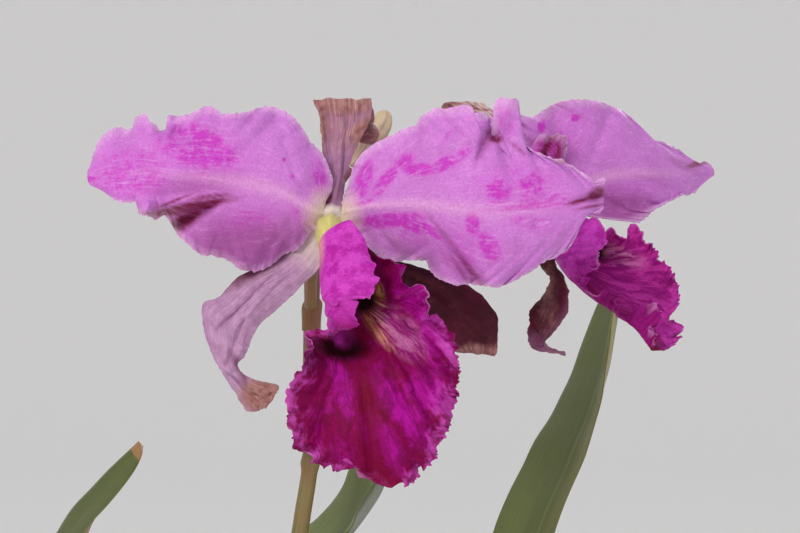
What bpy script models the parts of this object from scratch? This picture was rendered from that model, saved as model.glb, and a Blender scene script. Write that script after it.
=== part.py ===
"""A potted cattleya orchid: two open flowers on one stalk, five bulbs with leaves, bark and a clay pot.

Metres, +Z up. The origin is the middle of the pot's underside, and the flowers' front is towards -Y.
Tables of points are in millimetres, in a flower's own frame: x to the viewer's right, y away, z up.
"""
import math

import bmesh
import bpy
import numpy as np

MM = 0.001
GAP = 0.3 * MM

POT_HEIGHT = 115 * MM
POT_RIM_RADIUS = 65 * MM
POT_RIM_DEPTH = 20 * MM
POT_RIM_PROUD = 3 * MM
POT_BASE_RADIUS = 45 * MM
POT_WALL = 6 * MM
POT_FLOOR = 8 * MM
POT_STEPS = 40
DRAIN_HOLES = 3
DRAIN_RADIUS = 4 * MM
DRAIN_CIRCLE = 22 * MM
BARK_TOP = 100 * MM
BARK_CROWN = 3 * MM

RHIZOME_RADIUS = 5 * MM
BULB_FOOT = BARK_TOP + BARK_CROWN + 2 * GAP + 2 * RHIZOME_RADIUS
BULB_TURN = 5 * MM
ROOT_RADIUS = 1.8 * MM
ROOT_SAG = 0.6 * MM
SPATHE_RADIUS = 4.2 * MM
SPATHE_HEIGHT = 22 * MM
SPATHE_FLARE = 0.1
SPATHE_NOTCH = 0.12
SPATHE_HALF_WRAP = math.radians(100)
SPATHE_OPENING = math.radians(50)

TEPAL_THICKNESS = 1.2 * MM
LEAF_THICKNESS = 2.0 * MM
SPATHE_THICKNESS = 0.8 * MM

# Middle of each flower, where its petals meet, and how far it is turned about the vertical
FLOWER_1_CENTRE = (-21 * MM, -40 * MM, 370 * MM)
FLOWER_1_TURN = 0.0
FLOWER_2_CENTRE = (48.5 * MM, 40 * MM, 374 * MM)
FLOWER_2_TURN = math.radians(42)

# Petals: one row for each rib, upper margin, midrib, lower margin, from the base to the tip
LEFT_PETAL_1 = (
    ((-3.9, 2, 2.5), (-4.1, 1, 0.3), (-4.8, 0, -2.5)),
    ((-0.3, 4, 8.4), (-6.2, -2, 1.6), (-8.1, 3, -6.5)),
    ((-3.1, 5, 20.2), (-9.9, -4, 3.7), (-12.7, 6, -11.2)),
    ((-10.6, 4, 28.9), (-16.2, -6, 7.1), (-22.4, 8, -17.1)),
    ((-21.7, 0, 33.9), (-27, -8, 9.9), (-34.2, 6, -13.7)),
    ((-34.2, -4, 32), (-37.9, -9, 11.5), (-44.7, 2, -9.6)),
    ((-46.6, -4, 30.4), (-48.8, -10, 12.4), (-51.9, 4, -0.9)),
    ((-57.5, -4, 30.8), (-57.2, -9, 13), (-56.5, -8, 3.1)),
    ((-68.3, 0, 26.7), (-67.4, -6, 12.4), (-64.3, -6, 4)),
    ((-74.5, 0, 17.1), (-75.8, -4, 11.2), (-73, -4, 7.8)),
)
RIGHT_PETAL_1 = (
    ((2.6, 2, 2.5), (2.5, 1, 0.6), (2.8, 1, -1.6)),
    ((4, 4, 7.8), (6.2, -1, 1.6), (8.1, 2, -3.4)),
    ((7.1, 4, 16.2), (14, -3, 3.1), (14.9, 4, -10.2)),
    ((16.5, 2, 23.9), (25.8, -6, 3.4), (24.8, 4, -14.3)),
    ((28.9, -2, 31.4), (37.9, -8, 1.9), (33.5, 0, -19.6)),
    ((42.9, -4, 33.2), (49.7, -8, 0.9), (44.4, -2, -21.7)),
    ((52.2, -2, 28.4), (61.5, -6, 1.6), (54.2, 0, -21.7)),
    ((64.6, 0, 20.6), (73.3, -3, 3.7), (66.2, 2, -14.6)),
    ((75.5, 2, 13.4), (80.1, 0, 4.7), (75.5, 3, -4.7)),
    ((83.9, 3, 10.2), (84.5, 2, 5.3), (83.2, 4, 0.9)),
)
LEFT_PETAL_2 = (
    ((-3.2, 2, 2.5), (-3.1, 1, 0.3), (-3.3, 1, -2)),
    ((-2, 0, 14), (-7, 0, 2), (-8, 3, -5)),
    ((-6, 0, 22), (-13, -1, 4), (-14, 4, -10)),
    ((-16, 2, 19), (-22, -3, 4), (-23, 4, -14)),
    ((-28, 2, 16), (-32, -4, 4), (-33, 3, -15)),
    ((-40, 0, 19), (-42, -4, 4), (-43, 2, -14)),
    ((-51, 0, 18), (-51, -3, 4), (-52, 2, -10)),
    ((-60, 1, 13), (-60, -1, 5), (-60, 2, -3)),
)
RIGHT_PETAL_2 = (
    ((3.3, 2, 3), (3.2, 1, 1), (3.4, 1, -2)),
    ((-4, 6, 14), (6, -1, 3), (9, 2, -4)),
    ((-10, 6, 27), (14, -3, 7), (19, 3, -6)),
    ((3, 3, 33), (24, -5, 10), (30, 2, -6)),
    ((18, -1, 35), (35, -7, 11), (40, 0, -5)),
    ((32, -3, 32.5), (46, -7, 11), (49, -2, -2)),
    ((45, -3, 25), (57, -5, 11), (59, -2, 2)),
    ((60, -1, 18.5), (68, -2, 12), (69, 0, 5)),
    ((77, 2, 14.5), (78.5, 1, 12), (78, 2, 8.5)),
)

# Sepals: two edges, from the base to the tip, and how far the midrib stands towards the viewer
DORSAL_SEPAL_1 = (
    ((-2.8, 3.2, 1.9), (1.6, 3.2, 1.9)),
    ((-2.4, 7, 8), (3.2, 7, 8)),
    ((-2.4, 11, 16), (6.2, 11, 16)),
    ((-3.8, 15, 25), (9, 15, 25)),
    ((-5.2, 18, 33), (11.5, 18, 33)),
    ((-5.8, 21.5, 36.2), (11.7, 21.5, 36.2)),
    ((-4.5, 26, 34.5), (12.2, 26, 34)),
    ((0, 29, 27), (14, 30, 27)),
    ((8, 30, 21), (14.5, 30, 21)),
)
DORSAL_SEPAL_2 = (
    ((-2.2, 3.2, 1.9), (2.2, 3.2, 1.9)),
    ((-3, 9, 8), (3, 9, 8)),
    ((-5, 15, 16), (5, 15, 16)),
    ((-7, 23, 25), (7, 23, 25)),
    ((-9, 34, 32), (7, 34, 32)),
    ((-9, 41, 34.5), (7, 41, 34.5)),
    ((-7, 46, 28), (5, 46, 28)),
)
LEFT_SEPAL_1 = (
    ((-4.6, 4, -2.6), (-2.2, 4, -5.2)),
    ((-10.9, 7.5, -8.7), (-4, 6.5, -14.6)),
    ((-18.6, 10, -14.6), (-9.9, 8, -21.4)),
    ((-27, 13, -19), (-17.4, 11, -28.3)),
    ((-34.2, 15, -24.5), (-23.3, 13, -33.5)),
    ((-40.4, 16, -28.6), (-26, 13, -37.9)),
    ((-40.2, 14, -36.2), (-27, 11, -42.9)),
    ((-36.9, 12, -44.5), (-29.2, 9, -46.7)),
    ((-31.9, 10, -52.2), (-25.6, 6, -50.3)),
    ((-26.7, 6, -60.2), (-20.7, 2, -53.5)),
)
RIGHT_SEPAL_1 = (
    ((3, 4, -2.6), (0.6, 4, -5.4)),
    ((15, 8, -12), (7, 8, -18)),
    ((26, 13, -16), (15, 13, -27)),
    ((40, 17, -20), (25, 16, -33)),
    ((51, 19, -31), (34, 18, -40)),
    ((51, 22, -43.5), (39.4, 22, -43)),
    ((49, 27.5, -41), (40, 27.5, -41)),
    ((46, 31, -34), (40, 31, -34)),
)
LEFT_SEPAL_2 = (
    ((-4.4, 3.6, -2.4), (-2, 3.6, -5)),
    ((-1, 8, -11), (5, 5.5, -13)),
    ((4.6, 9, -19), (9, 5, -20.5)),
    ((8.5, 8.2, -24), (12.2, 4.8, -24.4)),
    ((7.3, 9.2, -28.7), (12.9, 4.2, -28.7)),
    ((3.5, 11.2, -34.6), (11.9, 3.8, -34.6)),
    ((2.7, 12.1, -39.5), (9.9, 5.5, -39.5)),
    ((2.4, 12.2, -44.8), (6.6, 8.4, -44.8)),
    ((3.3, 11.5, -49.5), (8.2, 7, -49)),
)
RIGHT_SEPAL_2 = (
    ((4, 3.6, -1.4), (2.2, 3.6, -4.8)),
    ((13, 9, -3), (10, 10, -13)),
    ((23, 13, -4), (20, 14, -18)),
    ((33, 17, -7), (30, 18, -20)),
    ((40, 24, -10), (37, 25, -20)),
    ((43, 32, -12), (41, 33, -18)),
)
SEPAL_KEEL = 2.0

# Lips: the keel's place, then for the left and the right side its width and the angle it turns through
LIP_1 = (
    ((-0.6, 0.8, -7.2), 7.6, 90, 7.6, 90),
    ((0.5, -4, -13), 24, 215, 10, 95),
    ((5, -12, -24), 32, 212, 22, 80),
    ((8, -20, -34), 30, 190, 27, 60),
    ((9, -27, -42), 22, 60, 29, 30),
    ((11, -33, -52), 23.5, 10, 28, -5),
    ((12, -36, -62), 25, -15, 25.5, -15),
    ((12.5, -37, -69), 22.5, -20, 21, -20),
    ((14, -36, -74.5), 14, -15, 18, -15),
    ((15.5, -34.5, -78.5), 5, -5, 14.5, -10),
    ((17, -33.5, -81), 2, 0, 10, 0),
)
LIP_2 = (
    ((0, 0.8, -6.8), 7.4, 90, 7.4, 90),
    ((0, -4, -15), 20, 170, 18, 150),
    ((0, -11, -22), 24, 150, 27, 140),
    ((0, -20, -28.5), 13, 80, 29, 115),
    ((0, -28.5, -33), 7, 50, 28, 100),
    ((0, -36, -36.5), 5, 30, 24, 80),
    ((0.5, -41, -40), 4, 10, 19, 45),
    ((1, -45, -43.5), 4, 0, 14, 10),
    ((1, -47, -45.5), 4, 0, 10, 0),
    ((1, -48, -46.8), 3, 0, 6, 0),
)

# Columns: points of the axis with the radius there; the anther cap follows on the last point
COLUMN_1 = (
    ((-0.8, 5.4, -1.8), 2.6),
    ((-0.8, 1, -2.2), 2.6),
    ((-0.5, -3, -4.2), 3.1),
    ((1.5, -8.5, -10), 3.3),
    ((4, -15, -17), 3.2),
)
ANTHER_CAP_1 = (
    ((4.1, -15.3, -17.3), 3.0),
    ((4.7, -16.7, -18.8), 3.2),
    ((5.3, -18.2, -20.4), 1.6),
)
COLUMN_2 = (
    ((0, 5.4, -1.6), 2.6),
    ((0, 1, -2), 2.6),
    ((0, -3, -4), 3.2),
    ((0, -9, -9), 3.4),
    ((0, -16, -15), 3.2),
)
ANTHER_CAP_2 = (
    ((0, -16.3, -15.3), 3.0),
    ((0, -18, -16.8), 3.2),
    ((0, -19.6, -18.2), 1.6),
)

# Stalks in the plant's frame, in millimetres: place and radius
PEDUNCLE = (
    ((-34.5, -3, 246), 2.6),
    ((-33.6, -3, 258), 2.6),
    ((-31, -2.8, 275), 2.6),
    ((-28.4, -2.2, 294), 2.5),
    ((-28.4, -1.5, 320), 2.5),
    ((-28, -0.5, 345), 2.4),
    ((-26.5, 1, 362), 2.2),
    ((-22.5, 3, 376), 1.9),
    ((-16, 4.5, 385.5), 1.5),
)
DRY_BUD = (
    ((-15.75, 4.55, 385.9), 1.2),
    ((-12, 5, 391), 2.6),
    ((-8.5, 5, 396), 4.0),
    ((-5.5, 5, 401), 3.4),
    ((-4, 5, 404), 1.2),
)
OVARY_1 = (
    ((-28.4, -5.2, 341.5), 2.0),
    ((-28.2, -12, 350.5), 2.1),
    ((-26.6, -20, 360), 2.4),
    ((-23.4, -28, 366.6), 3.0),
    ((-21.8, -33.35, 368.2), 3.2),
)
OVARY_2 = (
    ((-25.1, 4.1, 358.5), 2.0),
    ((-12, 19, 364.5), 2.1),
    ((6, 41, 370.5), 2.3),
    ((26, 55.5, 373.5), 2.6),
    ((38, 52, 373.2), 3.0),
    ((44.5, 44.48, 372.5), 3.2),
)

# Bulbs: foot (x, y), top (x, y, z) and greatest radius
BULBS = {
    "pseudobulb_1": ((-17, 9), (-34.5, 1.5, 245), 11.5),
    "pseudobulb_2": ((21, 20), (31, 45, 200), 11),
    "pseudobulb_3": ((-36, 12), (-58, -2, 185), 10.5),
    "pseudobulb_4": ((2, 16), (5, 40, 205), 10.5),
    "pseudobulb_5": ((40, 14), (72, 15, 175), 11),
}
BULB_FOOT_RADIUS = 4.5
BULB_TOP_RADIUS = 8.0
BULB_FLARE = 0.3
BULB_SWELL = 1.2
# Share of the way up a bulb, and of its greatest radius, at three stations of its body
BULB_BODY = ((0.35, 0.75), (0.62, 1.0), (0.84, 0.94))
RHIZOME = ((-43, 14), (-36, 12), (-17, 9), (2, 16), (21, 20), (40, 14), (47, 9))

# Leaves: midrib in the plant's frame, direction across the blade at its base and at its tip, and half
# width, in millimetres
LEAVES = {
    "leaf_1": (
        ((-33.5, 9, 245.7), (-33.3, 10, 252), (-27, 15, 259), (-16, 21, 268), (-5, 27, 287), (0, 36, 312),
         (2, 48, 338)),
        (0.3, -1, 0), (0.3, -1, 0), 20),
    "leaf_2": (
        ((31, 45, 200.7), (31, 45.5, 207), (37, 52, 234), (47, 62, 266), (57, 72, 288), (65.5, 82, 307),
         (71, 92, 328), (75, 101, 352)),
        (0.7, -0.7, 0), (0.2, -1, 0), 20),
    "leaf_3": (
        ((-58, -2, 185.9), (-58, -2.3, 191), (-67, -6, 196), (-88, -14, 208), (-110, -23, 234),
         (-114, -28, 254), (-106, -30, 271), (-95, -30, 285), (-81, -30, 298.5)),
        (0.3, 1, 0), (0.1, 1, 0.3), 21),
    "leaf_4": (
        ((5, 40, 205.9), (5, 40.5, 212), (0, 48, 221), (-10, 64, 236), (-28, 90, 249), (-48, 120, 250),
         (-62, 150, 238)),
        (0.8, 0.5, 0), (0.8, 0.5, 0), 23),
    "leaf_5": (
        ((72, 15, 175.9), (72.5, 14.5, 181.5), (80, 10, 190), (96, 1, 202), (124, -16, 220), (154, -34, 229),
         (180, -50, 224)),
        (0.5, 0.85, 0), (0.5, 0.85, 0), 23),
}
LEAF_RISE = math.radians(21)
BLADE_BASE_SHARE = 0.2
BLADE_FULL_FROM = 0.45
BLADE_FULL_TO = 0.62
BLADE_ROUNDING = 0.4
BLADE_TIP_SHARE = 0.12

# Roots over the rim: direction round the pot in degrees, start on the rhizome, length hanging outside
ROOTS = {
    "root_1": (-118, (-30, 3.4), 52),
    "root_2": (-62, (12, 11.4), 38),
    "root_3": (-15, (46.5, 2.2), 66),
    "root_4": (160, (-48, 18), 45),
}

PINK = (0.62, 0.19, 0.56)
PINK_SHADE = (0.42, 0.10, 0.28)
MAGENTA = (0.45, 0.02, 0.26)
COLUMN_GREEN = (0.62, 0.60, 0.22)
CREAM = (0.80, 0.72, 0.66)
STALK_GREEN = (0.20, 0.22, 0.07)
LEAF_GREEN = (0.10, 0.16, 0.05)
BULB_GREEN = (0.22, 0.26, 0.09)
DRY_TAN = (0.36, 0.24, 0.13)
ROOT_GREY = (0.48, 0.47, 0.42)
BARK_BROWN = (0.14, 0.07, 0.035)
CLAY = (0.48, 0.19, 0.10)


def clear_scene():
    for old in list(bpy.data.objects):
        bpy.data.objects.remove(old, do_unlink=True)


def new_collection(name):
    collection = bpy.data.collections.new(name)
    bpy.context.scene.collection.children.link(collection)
    return collection


def material(name, colour, roughness):
    made = bpy.data.materials.new(name)
    made.use_nodes = True
    shader = made.node_tree.nodes["Principled BSDF"]
    shader.inputs["Base Color"].default_value = (*colour, 1.0)
    shader.inputs["Roughness"].default_value = roughness
    shader.inputs["Metallic"].default_value = 0.0
    return made


def place(name, data, collection, finish, holder=None):
    """Make an object of the data, with its own material, in the holder's frame where there is one."""
    data.materials.append(material(name, *finish))
    made = bpy.data.objects.new(name, data)
    collection.objects.link(made)
    made.parent = holder
    return made


def along(points, share):
    """A point of the smooth curve through the points, share 0 at the first and 1 at the last."""
    last = len(points) - 1
    position = min(max(share, 0.0), 1.0) * last
    index = min(int(position), last - 1)
    t = position - index
    start = points[index]
    end = points[index + 1]
    before = points[index - 1] if index > 0 else 2 * start - end
    after = points[index + 2] if index + 2 <= last else 2 * end - start
    slope = end - before
    bend = 2 * before - 5 * start + 4 * end - after
    twist = 3 * start - before - 3 * end + after
    return 0.5 * (2 * start + slope * t + bend * t ** 2 + twist * t ** 3)


def petal_surface(ribs):
    """The surface through ribs of three points: upper margin at v = 1, midrib, lower margin at v = -1."""
    table = np.array(ribs, dtype=float) * MM

    def surface(u, v):
        upper, middle, lower = along(table, u)
        return middle + v * (upper - lower) / 2 + v * v * ((upper + lower) / 2 - middle)

    return surface


def sepal_surface(edges, keel):
    """The surface between two edges, whose midrib stands out towards the viewer by the keel."""
    table = np.array(edges, dtype=float) * MM
    crest = np.array((0.0, -keel * MM, 0.0))

    def surface(u, v):
        first, second = along(table, u)
        lift = min(1.0, 4 * u) * (1 - v * v)
        return (first + second) / 2 + v * (first - second) / 2 + crest * lift

    return surface


def side_offset(width, turn, v):
    """How far across and how far up a side of the lip has gone at v, as an arc with that whole turn."""
    if abs(turn) < math.radians(0.5):
        return width * v, 0.0
    radius = width / turn
    return radius * math.sin(turn * v), radius * (1 - math.cos(turn * v))


def lip_surface(rows):
    """The lip's surface: its keel runs along u, and its sides are arcs, the left at v < 0."""
    keel = np.array([row[0] for row in rows], dtype=float) * MM
    widths = np.array([(row[1], row[3]) for row in rows], dtype=float) * MM
    turns = np.radians([(row[2], row[4]) for row in rows])
    step = 0.01

    def surface(u, v):
        heading = along(keel, u + step) - along(keel, u - step)
        heading = heading / np.linalg.norm(heading)
        across = np.array((1.0, 0.0, 0.0)) - heading * heading[0]
        across = across / np.linalg.norm(across)
        front = np.cross(heading, across)
        side = 0 if v < 0 else 1
        sign = -1 if v < 0 else 1
        out, up = side_offset(along(widths, u)[side], along(turns, u)[side], abs(v))
        return along(keel, u) + across * sign * out + front * up

    return surface


def leaf_surface(midrib, base_across, tip_across, half_width):
    """A strap-shaped blade folded along its midrib, whose sides rise from it."""
    table = np.array(midrib, dtype=float) * MM
    base_side = np.array(base_across, dtype=float)
    tip_side = np.array(tip_across, dtype=float)
    step = 0.01

    def surface(u, v):
        heading = along(table, u + step) - along(table, u - step)
        heading = heading / np.linalg.norm(heading)
        wanted = base_side * (1 - u) + tip_side * u
        side = wanted - heading * np.dot(wanted, heading)
        side = side / np.linalg.norm(side)
        up = np.cross(side, heading)
        width = half_width * MM * blade_width(u)
        flat = side * v * width * math.cos(LEAF_RISE)
        return along(table, u) + flat + up * abs(v) * width * math.sin(LEAF_RISE)

    return surface


def blade_width(u):
    """Share of a leaf's greatest half width at u: a narrow base, a broad middle and a blunt tip."""
    widening = math.sin(math.pi / 2 * min(1.0, u / BLADE_FULL_FROM)) ** 2
    base = BLADE_BASE_SHARE + (1 - BLADE_BASE_SHARE) * widening
    rounding = max(0.0, (u - BLADE_FULL_TO) / BLADE_ROUNDING)
    tip = math.sqrt(max(0.0, 1 - rounding ** 2))
    return base * max(tip, BLADE_TIP_SHARE)


def sheet(name, surface, rows, columns, thickness, collection, finish, holder=None):
    """A thin piece: a grid bent to the surface and thickened to both sides."""
    mesh = bpy.data.meshes.new(name)
    grid = bmesh.new()
    bmesh.ops.create_grid(grid, x_segments=rows, y_segments=columns, size=1.0)
    for vertex in grid.verts:
        vertex.co = surface((vertex.co.x + 1) / 2, vertex.co.y)
    grid.to_mesh(mesh)
    grid.free()
    mesh.shade_smooth()
    made = place(name, mesh, collection, finish, holder)
    wall = made.modifiers.new("Thickness", "SOLIDIFY")
    wall.thickness = thickness
    wall.offset = 0.0
    return made


def tube(name, stations, samples, sides, collection, finish, holder=None):
    """A round piece that follows a smooth curve through stations of a place and a radius, in millimetres."""
    centres = np.array([station[0] for station in stations], dtype=float) * MM
    radii = np.array([station[1] for station in stations], dtype=float) * MM
    curve = bpy.data.curves.new(name, "CURVE")
    curve.dimensions = "3D"
    curve.bevel_depth = 1.0
    curve.bevel_resolution = sides // 2 - 2
    curve.use_fill_caps = True
    spline = curve.splines.new("POLY")
    spline.points.add(samples - 1)
    for index, point in enumerate(spline.points):
        share = index / (samples - 1)
        point.co = (*along(centres, share), 1.0)
        point.radius = along(radii, share)
    return place(name, curve, collection, finish, holder)


def turned(name, profile, collection, finish):
    """A piece turned about the vertical axis from its profile of radius and height."""
    mesh = bpy.data.meshes.new(name)
    mesh.from_pydata([(radius, 0, height) for radius, height in profile],
                     [(index, index + 1) for index in range(len(profile) - 1)], [])
    made = place(name, mesh, collection, finish)
    screw = made.modifiers.new("Turn", "SCREW")
    screw.steps = POT_STEPS
    screw.render_steps = POT_STEPS
    screw.use_merge_vertices = True
    screw.merge_threshold = 0.00005
    return made


def pot_inside(height):
    """The radius of the pot's inner wall at a height."""
    top = POT_RIM_RADIUS - POT_RIM_PROUD - POT_WALL
    base = POT_BASE_RADIUS - POT_WALL
    return base + (top - base) * height / POT_HEIGHT


def build_pot(collection, cutters):
    body_top = POT_HEIGHT - POT_RIM_DEPTH
    profile = (
        (0, POT_FLOOR),
        (pot_inside(POT_FLOOR), POT_FLOOR),
        (pot_inside(POT_HEIGHT), POT_HEIGHT),
        (POT_RIM_RADIUS, POT_HEIGHT),
        (POT_RIM_RADIUS - POT_RIM_PROUD / 3, body_top),
        (POT_RIM_RADIUS - POT_RIM_PROUD - 1 * MM, body_top),
        (POT_BASE_RADIUS, 0),
        (0, 0),
    )
    pot = turned("pot", profile, collection, (CLAY, 0.85))
    for number in range(DRAIN_HOLES):
        angle = math.tau * number / DRAIN_HOLES + math.radians(30)
        bpy.ops.mesh.primitive_cylinder_add(
            vertices=16, radius=DRAIN_RADIUS, depth=4 * POT_FLOOR,
            location=(DRAIN_CIRCLE * math.cos(angle), DRAIN_CIRCLE * math.sin(angle), 0))
        cutter = bpy.context.object
        cutter.name = f"drain_cutter_{number + 1}"
        cutter.hide_render = True
        cutter.display_type = "WIRE"
        for owner in list(cutter.users_collection):
            owner.objects.unlink(cutter)
        cutters.objects.link(cutter)
        hole = pot.modifiers.new(f"Drain hole {number + 1}", "BOOLEAN")
        hole.operation = "DIFFERENCE"
        hole.solver = "EXACT"
        hole.object = cutter


def build_bark(collection):
    bottom = POT_FLOOR + GAP
    clearance = 1.2 * GAP
    edge = pot_inside(BARK_TOP) - clearance
    profile = (
        (0, BARK_TOP + BARK_CROWN),
        (0.8 * edge, BARK_TOP + BARK_CROWN),
        (edge, BARK_TOP),
        (pot_inside(bottom) - clearance, bottom),
        (0, bottom),
    )
    turned("bark_mix", profile, collection, (BARK_BROWN, 0.95))


def build_bulbs(collection):
    rhizome_height = (BARK_TOP + BARK_CROWN + GAP + RHIZOME_RADIUS) / MM
    stations = [((x, y, rhizome_height), RHIZOME_RADIUS / MM) for x, y in RHIZOME]
    tube("rhizome", stations, 19, 10, collection, (DRY_TAN, 0.8))
    for name, (start, top, radius) in BULBS.items():
        foot = np.array((*start, BULB_FOOT / MM))
        crown = np.array(top, dtype=float)
        turn = np.array((0, 0, BULB_TURN / MM))
        stations = (
            (foot, BULB_FOOT_RADIUS),
            (foot + turn, BULB_FOOT_RADIUS + BULB_FLARE),
            (foot + 2 * turn, BULB_FOOT_RADIUS + BULB_SWELL),
            *((foot + (crown - foot) * share, radius * width) for share, width in BULB_BODY),
            (crown - turn, BULB_TOP_RADIUS + BULB_FLARE),
            (crown, BULB_TOP_RADIUS),
        )
        tube(name, stations, 15, 12, collection, (BULB_GREEN, 0.5))


def build_roots(collection):
    """Each root starts beside the rhizome, lies on the bark, crosses the rim and hangs down outside.

    The route's own numbers are millimetres in from, out from, above or below the part that it passes.
    """
    clear = (GAP + ROOT_RADIUS + ROOT_SAG) / MM
    bark = (BARK_TOP + BARK_CROWN) / MM + clear
    rim = POT_HEIGHT / MM + clear
    outside = POT_RIM_RADIUS / MM + clear
    inside = pot_inside(POT_HEIGHT) / MM
    for name, (degrees, start, drop) in ROOTS.items():
        outward = np.array((math.cos(math.radians(degrees)), math.sin(math.radians(degrees))))
        begin = np.array(start, dtype=float)
        halfway = begin + 0.45 * (outward * (inside - 10) - begin)
        route = (
            (begin, bark + 1.2),
            (halfway, bark + 1.6),
            (outward * (inside - 6.5), rim - 4),
            (outward * (inside - 1), rim + 0.2),
            (outward * (outside - 3), rim + 0.2),
            (outward * (outside + 0.9), rim - 4.5),
            (outward * (outside - 0.3), rim - 14),
            (outward * (outside - 0.8), rim - drop),
        )
        stations = [((*spot, height), ROOT_RADIUS / MM) for spot, height in route]
        tube(name, stations, 21, 8, collection, (ROOT_GREY, 0.7))


def build_leaves(collection):
    for name, (midrib, base_across, tip_across, half_width) in LEAVES.items():
        surface = leaf_surface(midrib, base_across, tip_across, half_width)
        sheet(name, surface, 14, 4, LEAF_THICKNESS, collection, (LEAF_GREEN, 0.45))


def spathe_surface(u, v):
    """A dry sheath, open at the back, that wraps the lower part of the flower stalk."""
    foot = np.array(PEDUNCLE[0][0]) * MM
    angle = v * (SPATHE_HALF_WRAP - SPATHE_OPENING * u ** 3)
    radius = SPATHE_RADIUS * (1 + SPATHE_FLARE * u)
    height = SPATHE_HEIGHT * u * (1 - SPATHE_NOTCH * v * v)
    lean = np.array(PEDUNCLE[2][0]) * MM - foot
    axis = foot + lean * height / lean[2]
    return axis + np.array((radius * math.sin(angle), -radius * math.cos(angle), 0))


def build_stalks(collection):
    tube("peduncle", PEDUNCLE, 17, 10, collection, (STALK_GREEN, 0.5))
    sheet("spathe", spathe_surface, 8, 8, SPATHE_THICKNESS, collection, (DRY_TAN, 0.8))
    tube("dry_bud", DRY_BUD, 9, 8, collection, (DRY_TAN, 0.85))
    tube("ovary_1", OVARY_1, 11, 10, collection, (STALK_GREEN, 0.5))
    tube("ovary_2", OVARY_2, 15, 10, collection, (STALK_GREEN, 0.5))


def build_flower(number, centre, turn, petals, sepals, lip, column, cap, collection):
    """One flower round its own centre: an empty carries its three sepals, two petals, lip and column."""
    holder = bpy.data.objects.new(f"flower_{number}", None)
    holder.location = centre
    holder.rotation_euler = (0, 0, turn)
    collection.objects.link(holder)
    for side, ribs in petals.items():
        sheet(f"{side}_petal_{number}", petal_surface(ribs), 14, 8, TEPAL_THICKNESS, collection,
              (PINK, 0.6), holder)
    for side, edges in sepals.items():
        sheet(f"{side}_sepal_{number}", sepal_surface(edges, SEPAL_KEEL), 13, 4, TEPAL_THICKNESS, collection,
              (PINK_SHADE, 0.6), holder)
    sheet(f"lip_{number}", lip_surface(lip), 16, 14, TEPAL_THICKNESS, collection, (MAGENTA, 0.5), holder)
    tube(f"column_{number}", column, 9, 10, collection, (COLUMN_GREEN, 0.5), holder)
    tube(f"anther_cap_{number}", cap, 5, 10, collection, (CREAM, 0.5), holder)


def main():
    clear_scene()
    orchid = new_collection("cattleya_orchid")
    cutters = new_collection("cutters")
    build_pot(orchid, cutters)
    build_bark(orchid)
    build_bulbs(orchid)
    build_roots(orchid)
    build_leaves(orchid)
    build_stalks(orchid)
    build_flower(1, FLOWER_1_CENTRE, FLOWER_1_TURN, {"left": LEFT_PETAL_1, "right": RIGHT_PETAL_1},
                 {"dorsal": DORSAL_SEPAL_1, "left": LEFT_SEPAL_1, "right": RIGHT_SEPAL_1},
                 LIP_1, COLUMN_1, ANTHER_CAP_1, orchid)
    build_flower(2, FLOWER_2_CENTRE, FLOWER_2_TURN, {"left": LEFT_PETAL_2, "right": RIGHT_PETAL_2},
                 {"dorsal": DORSAL_SEPAL_2, "left": LEFT_SEPAL_2, "right": RIGHT_SEPAL_2},
                 LIP_2, COLUMN_2, ANTHER_CAP_2, orchid)


main()
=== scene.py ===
"""The looks of a potted cattleya orchid with two open flowers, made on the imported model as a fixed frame.

Everything is in metres, +Z up, with the flowers' front towards -Y. Tables of points are in millimetres.
"""
import math

import bmesh
import bpy
import numpy as np
from mathutils import Matrix, Vector, noise


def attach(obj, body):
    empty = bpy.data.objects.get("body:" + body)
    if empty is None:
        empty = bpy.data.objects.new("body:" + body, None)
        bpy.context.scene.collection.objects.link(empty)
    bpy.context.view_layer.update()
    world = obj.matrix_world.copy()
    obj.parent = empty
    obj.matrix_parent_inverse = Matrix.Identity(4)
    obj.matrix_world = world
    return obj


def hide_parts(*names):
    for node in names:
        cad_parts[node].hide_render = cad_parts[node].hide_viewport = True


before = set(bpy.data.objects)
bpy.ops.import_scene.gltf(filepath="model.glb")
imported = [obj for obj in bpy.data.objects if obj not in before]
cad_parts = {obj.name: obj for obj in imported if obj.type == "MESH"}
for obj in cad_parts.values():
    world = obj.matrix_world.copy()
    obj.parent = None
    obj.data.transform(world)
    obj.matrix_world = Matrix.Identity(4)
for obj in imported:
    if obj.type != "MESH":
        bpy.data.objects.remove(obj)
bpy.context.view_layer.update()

# The studio: a camera level with the flowers, as in the photo, in a wide pale bowl whose floor turns
# up into a wall with no edge, so that every view has a plain ground. A large soft lamp stands above
# and to the left of the camera, a weaker one to the right, and one behind shines through the petals.
MM = 0.001
CAMERA_PLACE = (0.0, -1.54, 0.354)
CAMERA_LENS = 217.3
CAMERA_SENSOR = 36.0
BOWL_FLOOR_RADIUS = 7000
BOWL_TURN_RADIUS = 3000
BOWL_TURN_STEPS = 24
BOWL_HEIGHT = 8000
BOWL_STEPS = 96
BOWL_WHITE = "#f6f4f2"
SKY_WHITE = "#f4f6fa"
SKY_STRENGTH = 0.8
# Name, place, point aimed at, side of the square, watts, colour
LAMPS = (
    ("key_lamp", (-0.75, -1.5, 1.15), (-0.01, -0.03, 0.36), 0.45, 19, "#fffaf4"),
    ("fill_lamp", (1.3, -1.1, 0.55), (0.0, 0.0, 0.34), 0.9, 3.5, "#f3f6ff"),
    ("back_lamp", (0.5, 1.2, 1.1), (0.0, 0.0, 0.34), 0.7, 9, "#fff6f8"),
)


def linear(colour):
    """A hex colour as four linear numbers."""
    parts = [int(colour[place:place + 2], 16) / 255 for place in (1, 3, 5)]
    return (*(p / 12.92 if p <= 0.04045 else ((p + 0.055) / 1.055) ** 2.4 for p in parts), 1.0)


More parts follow.
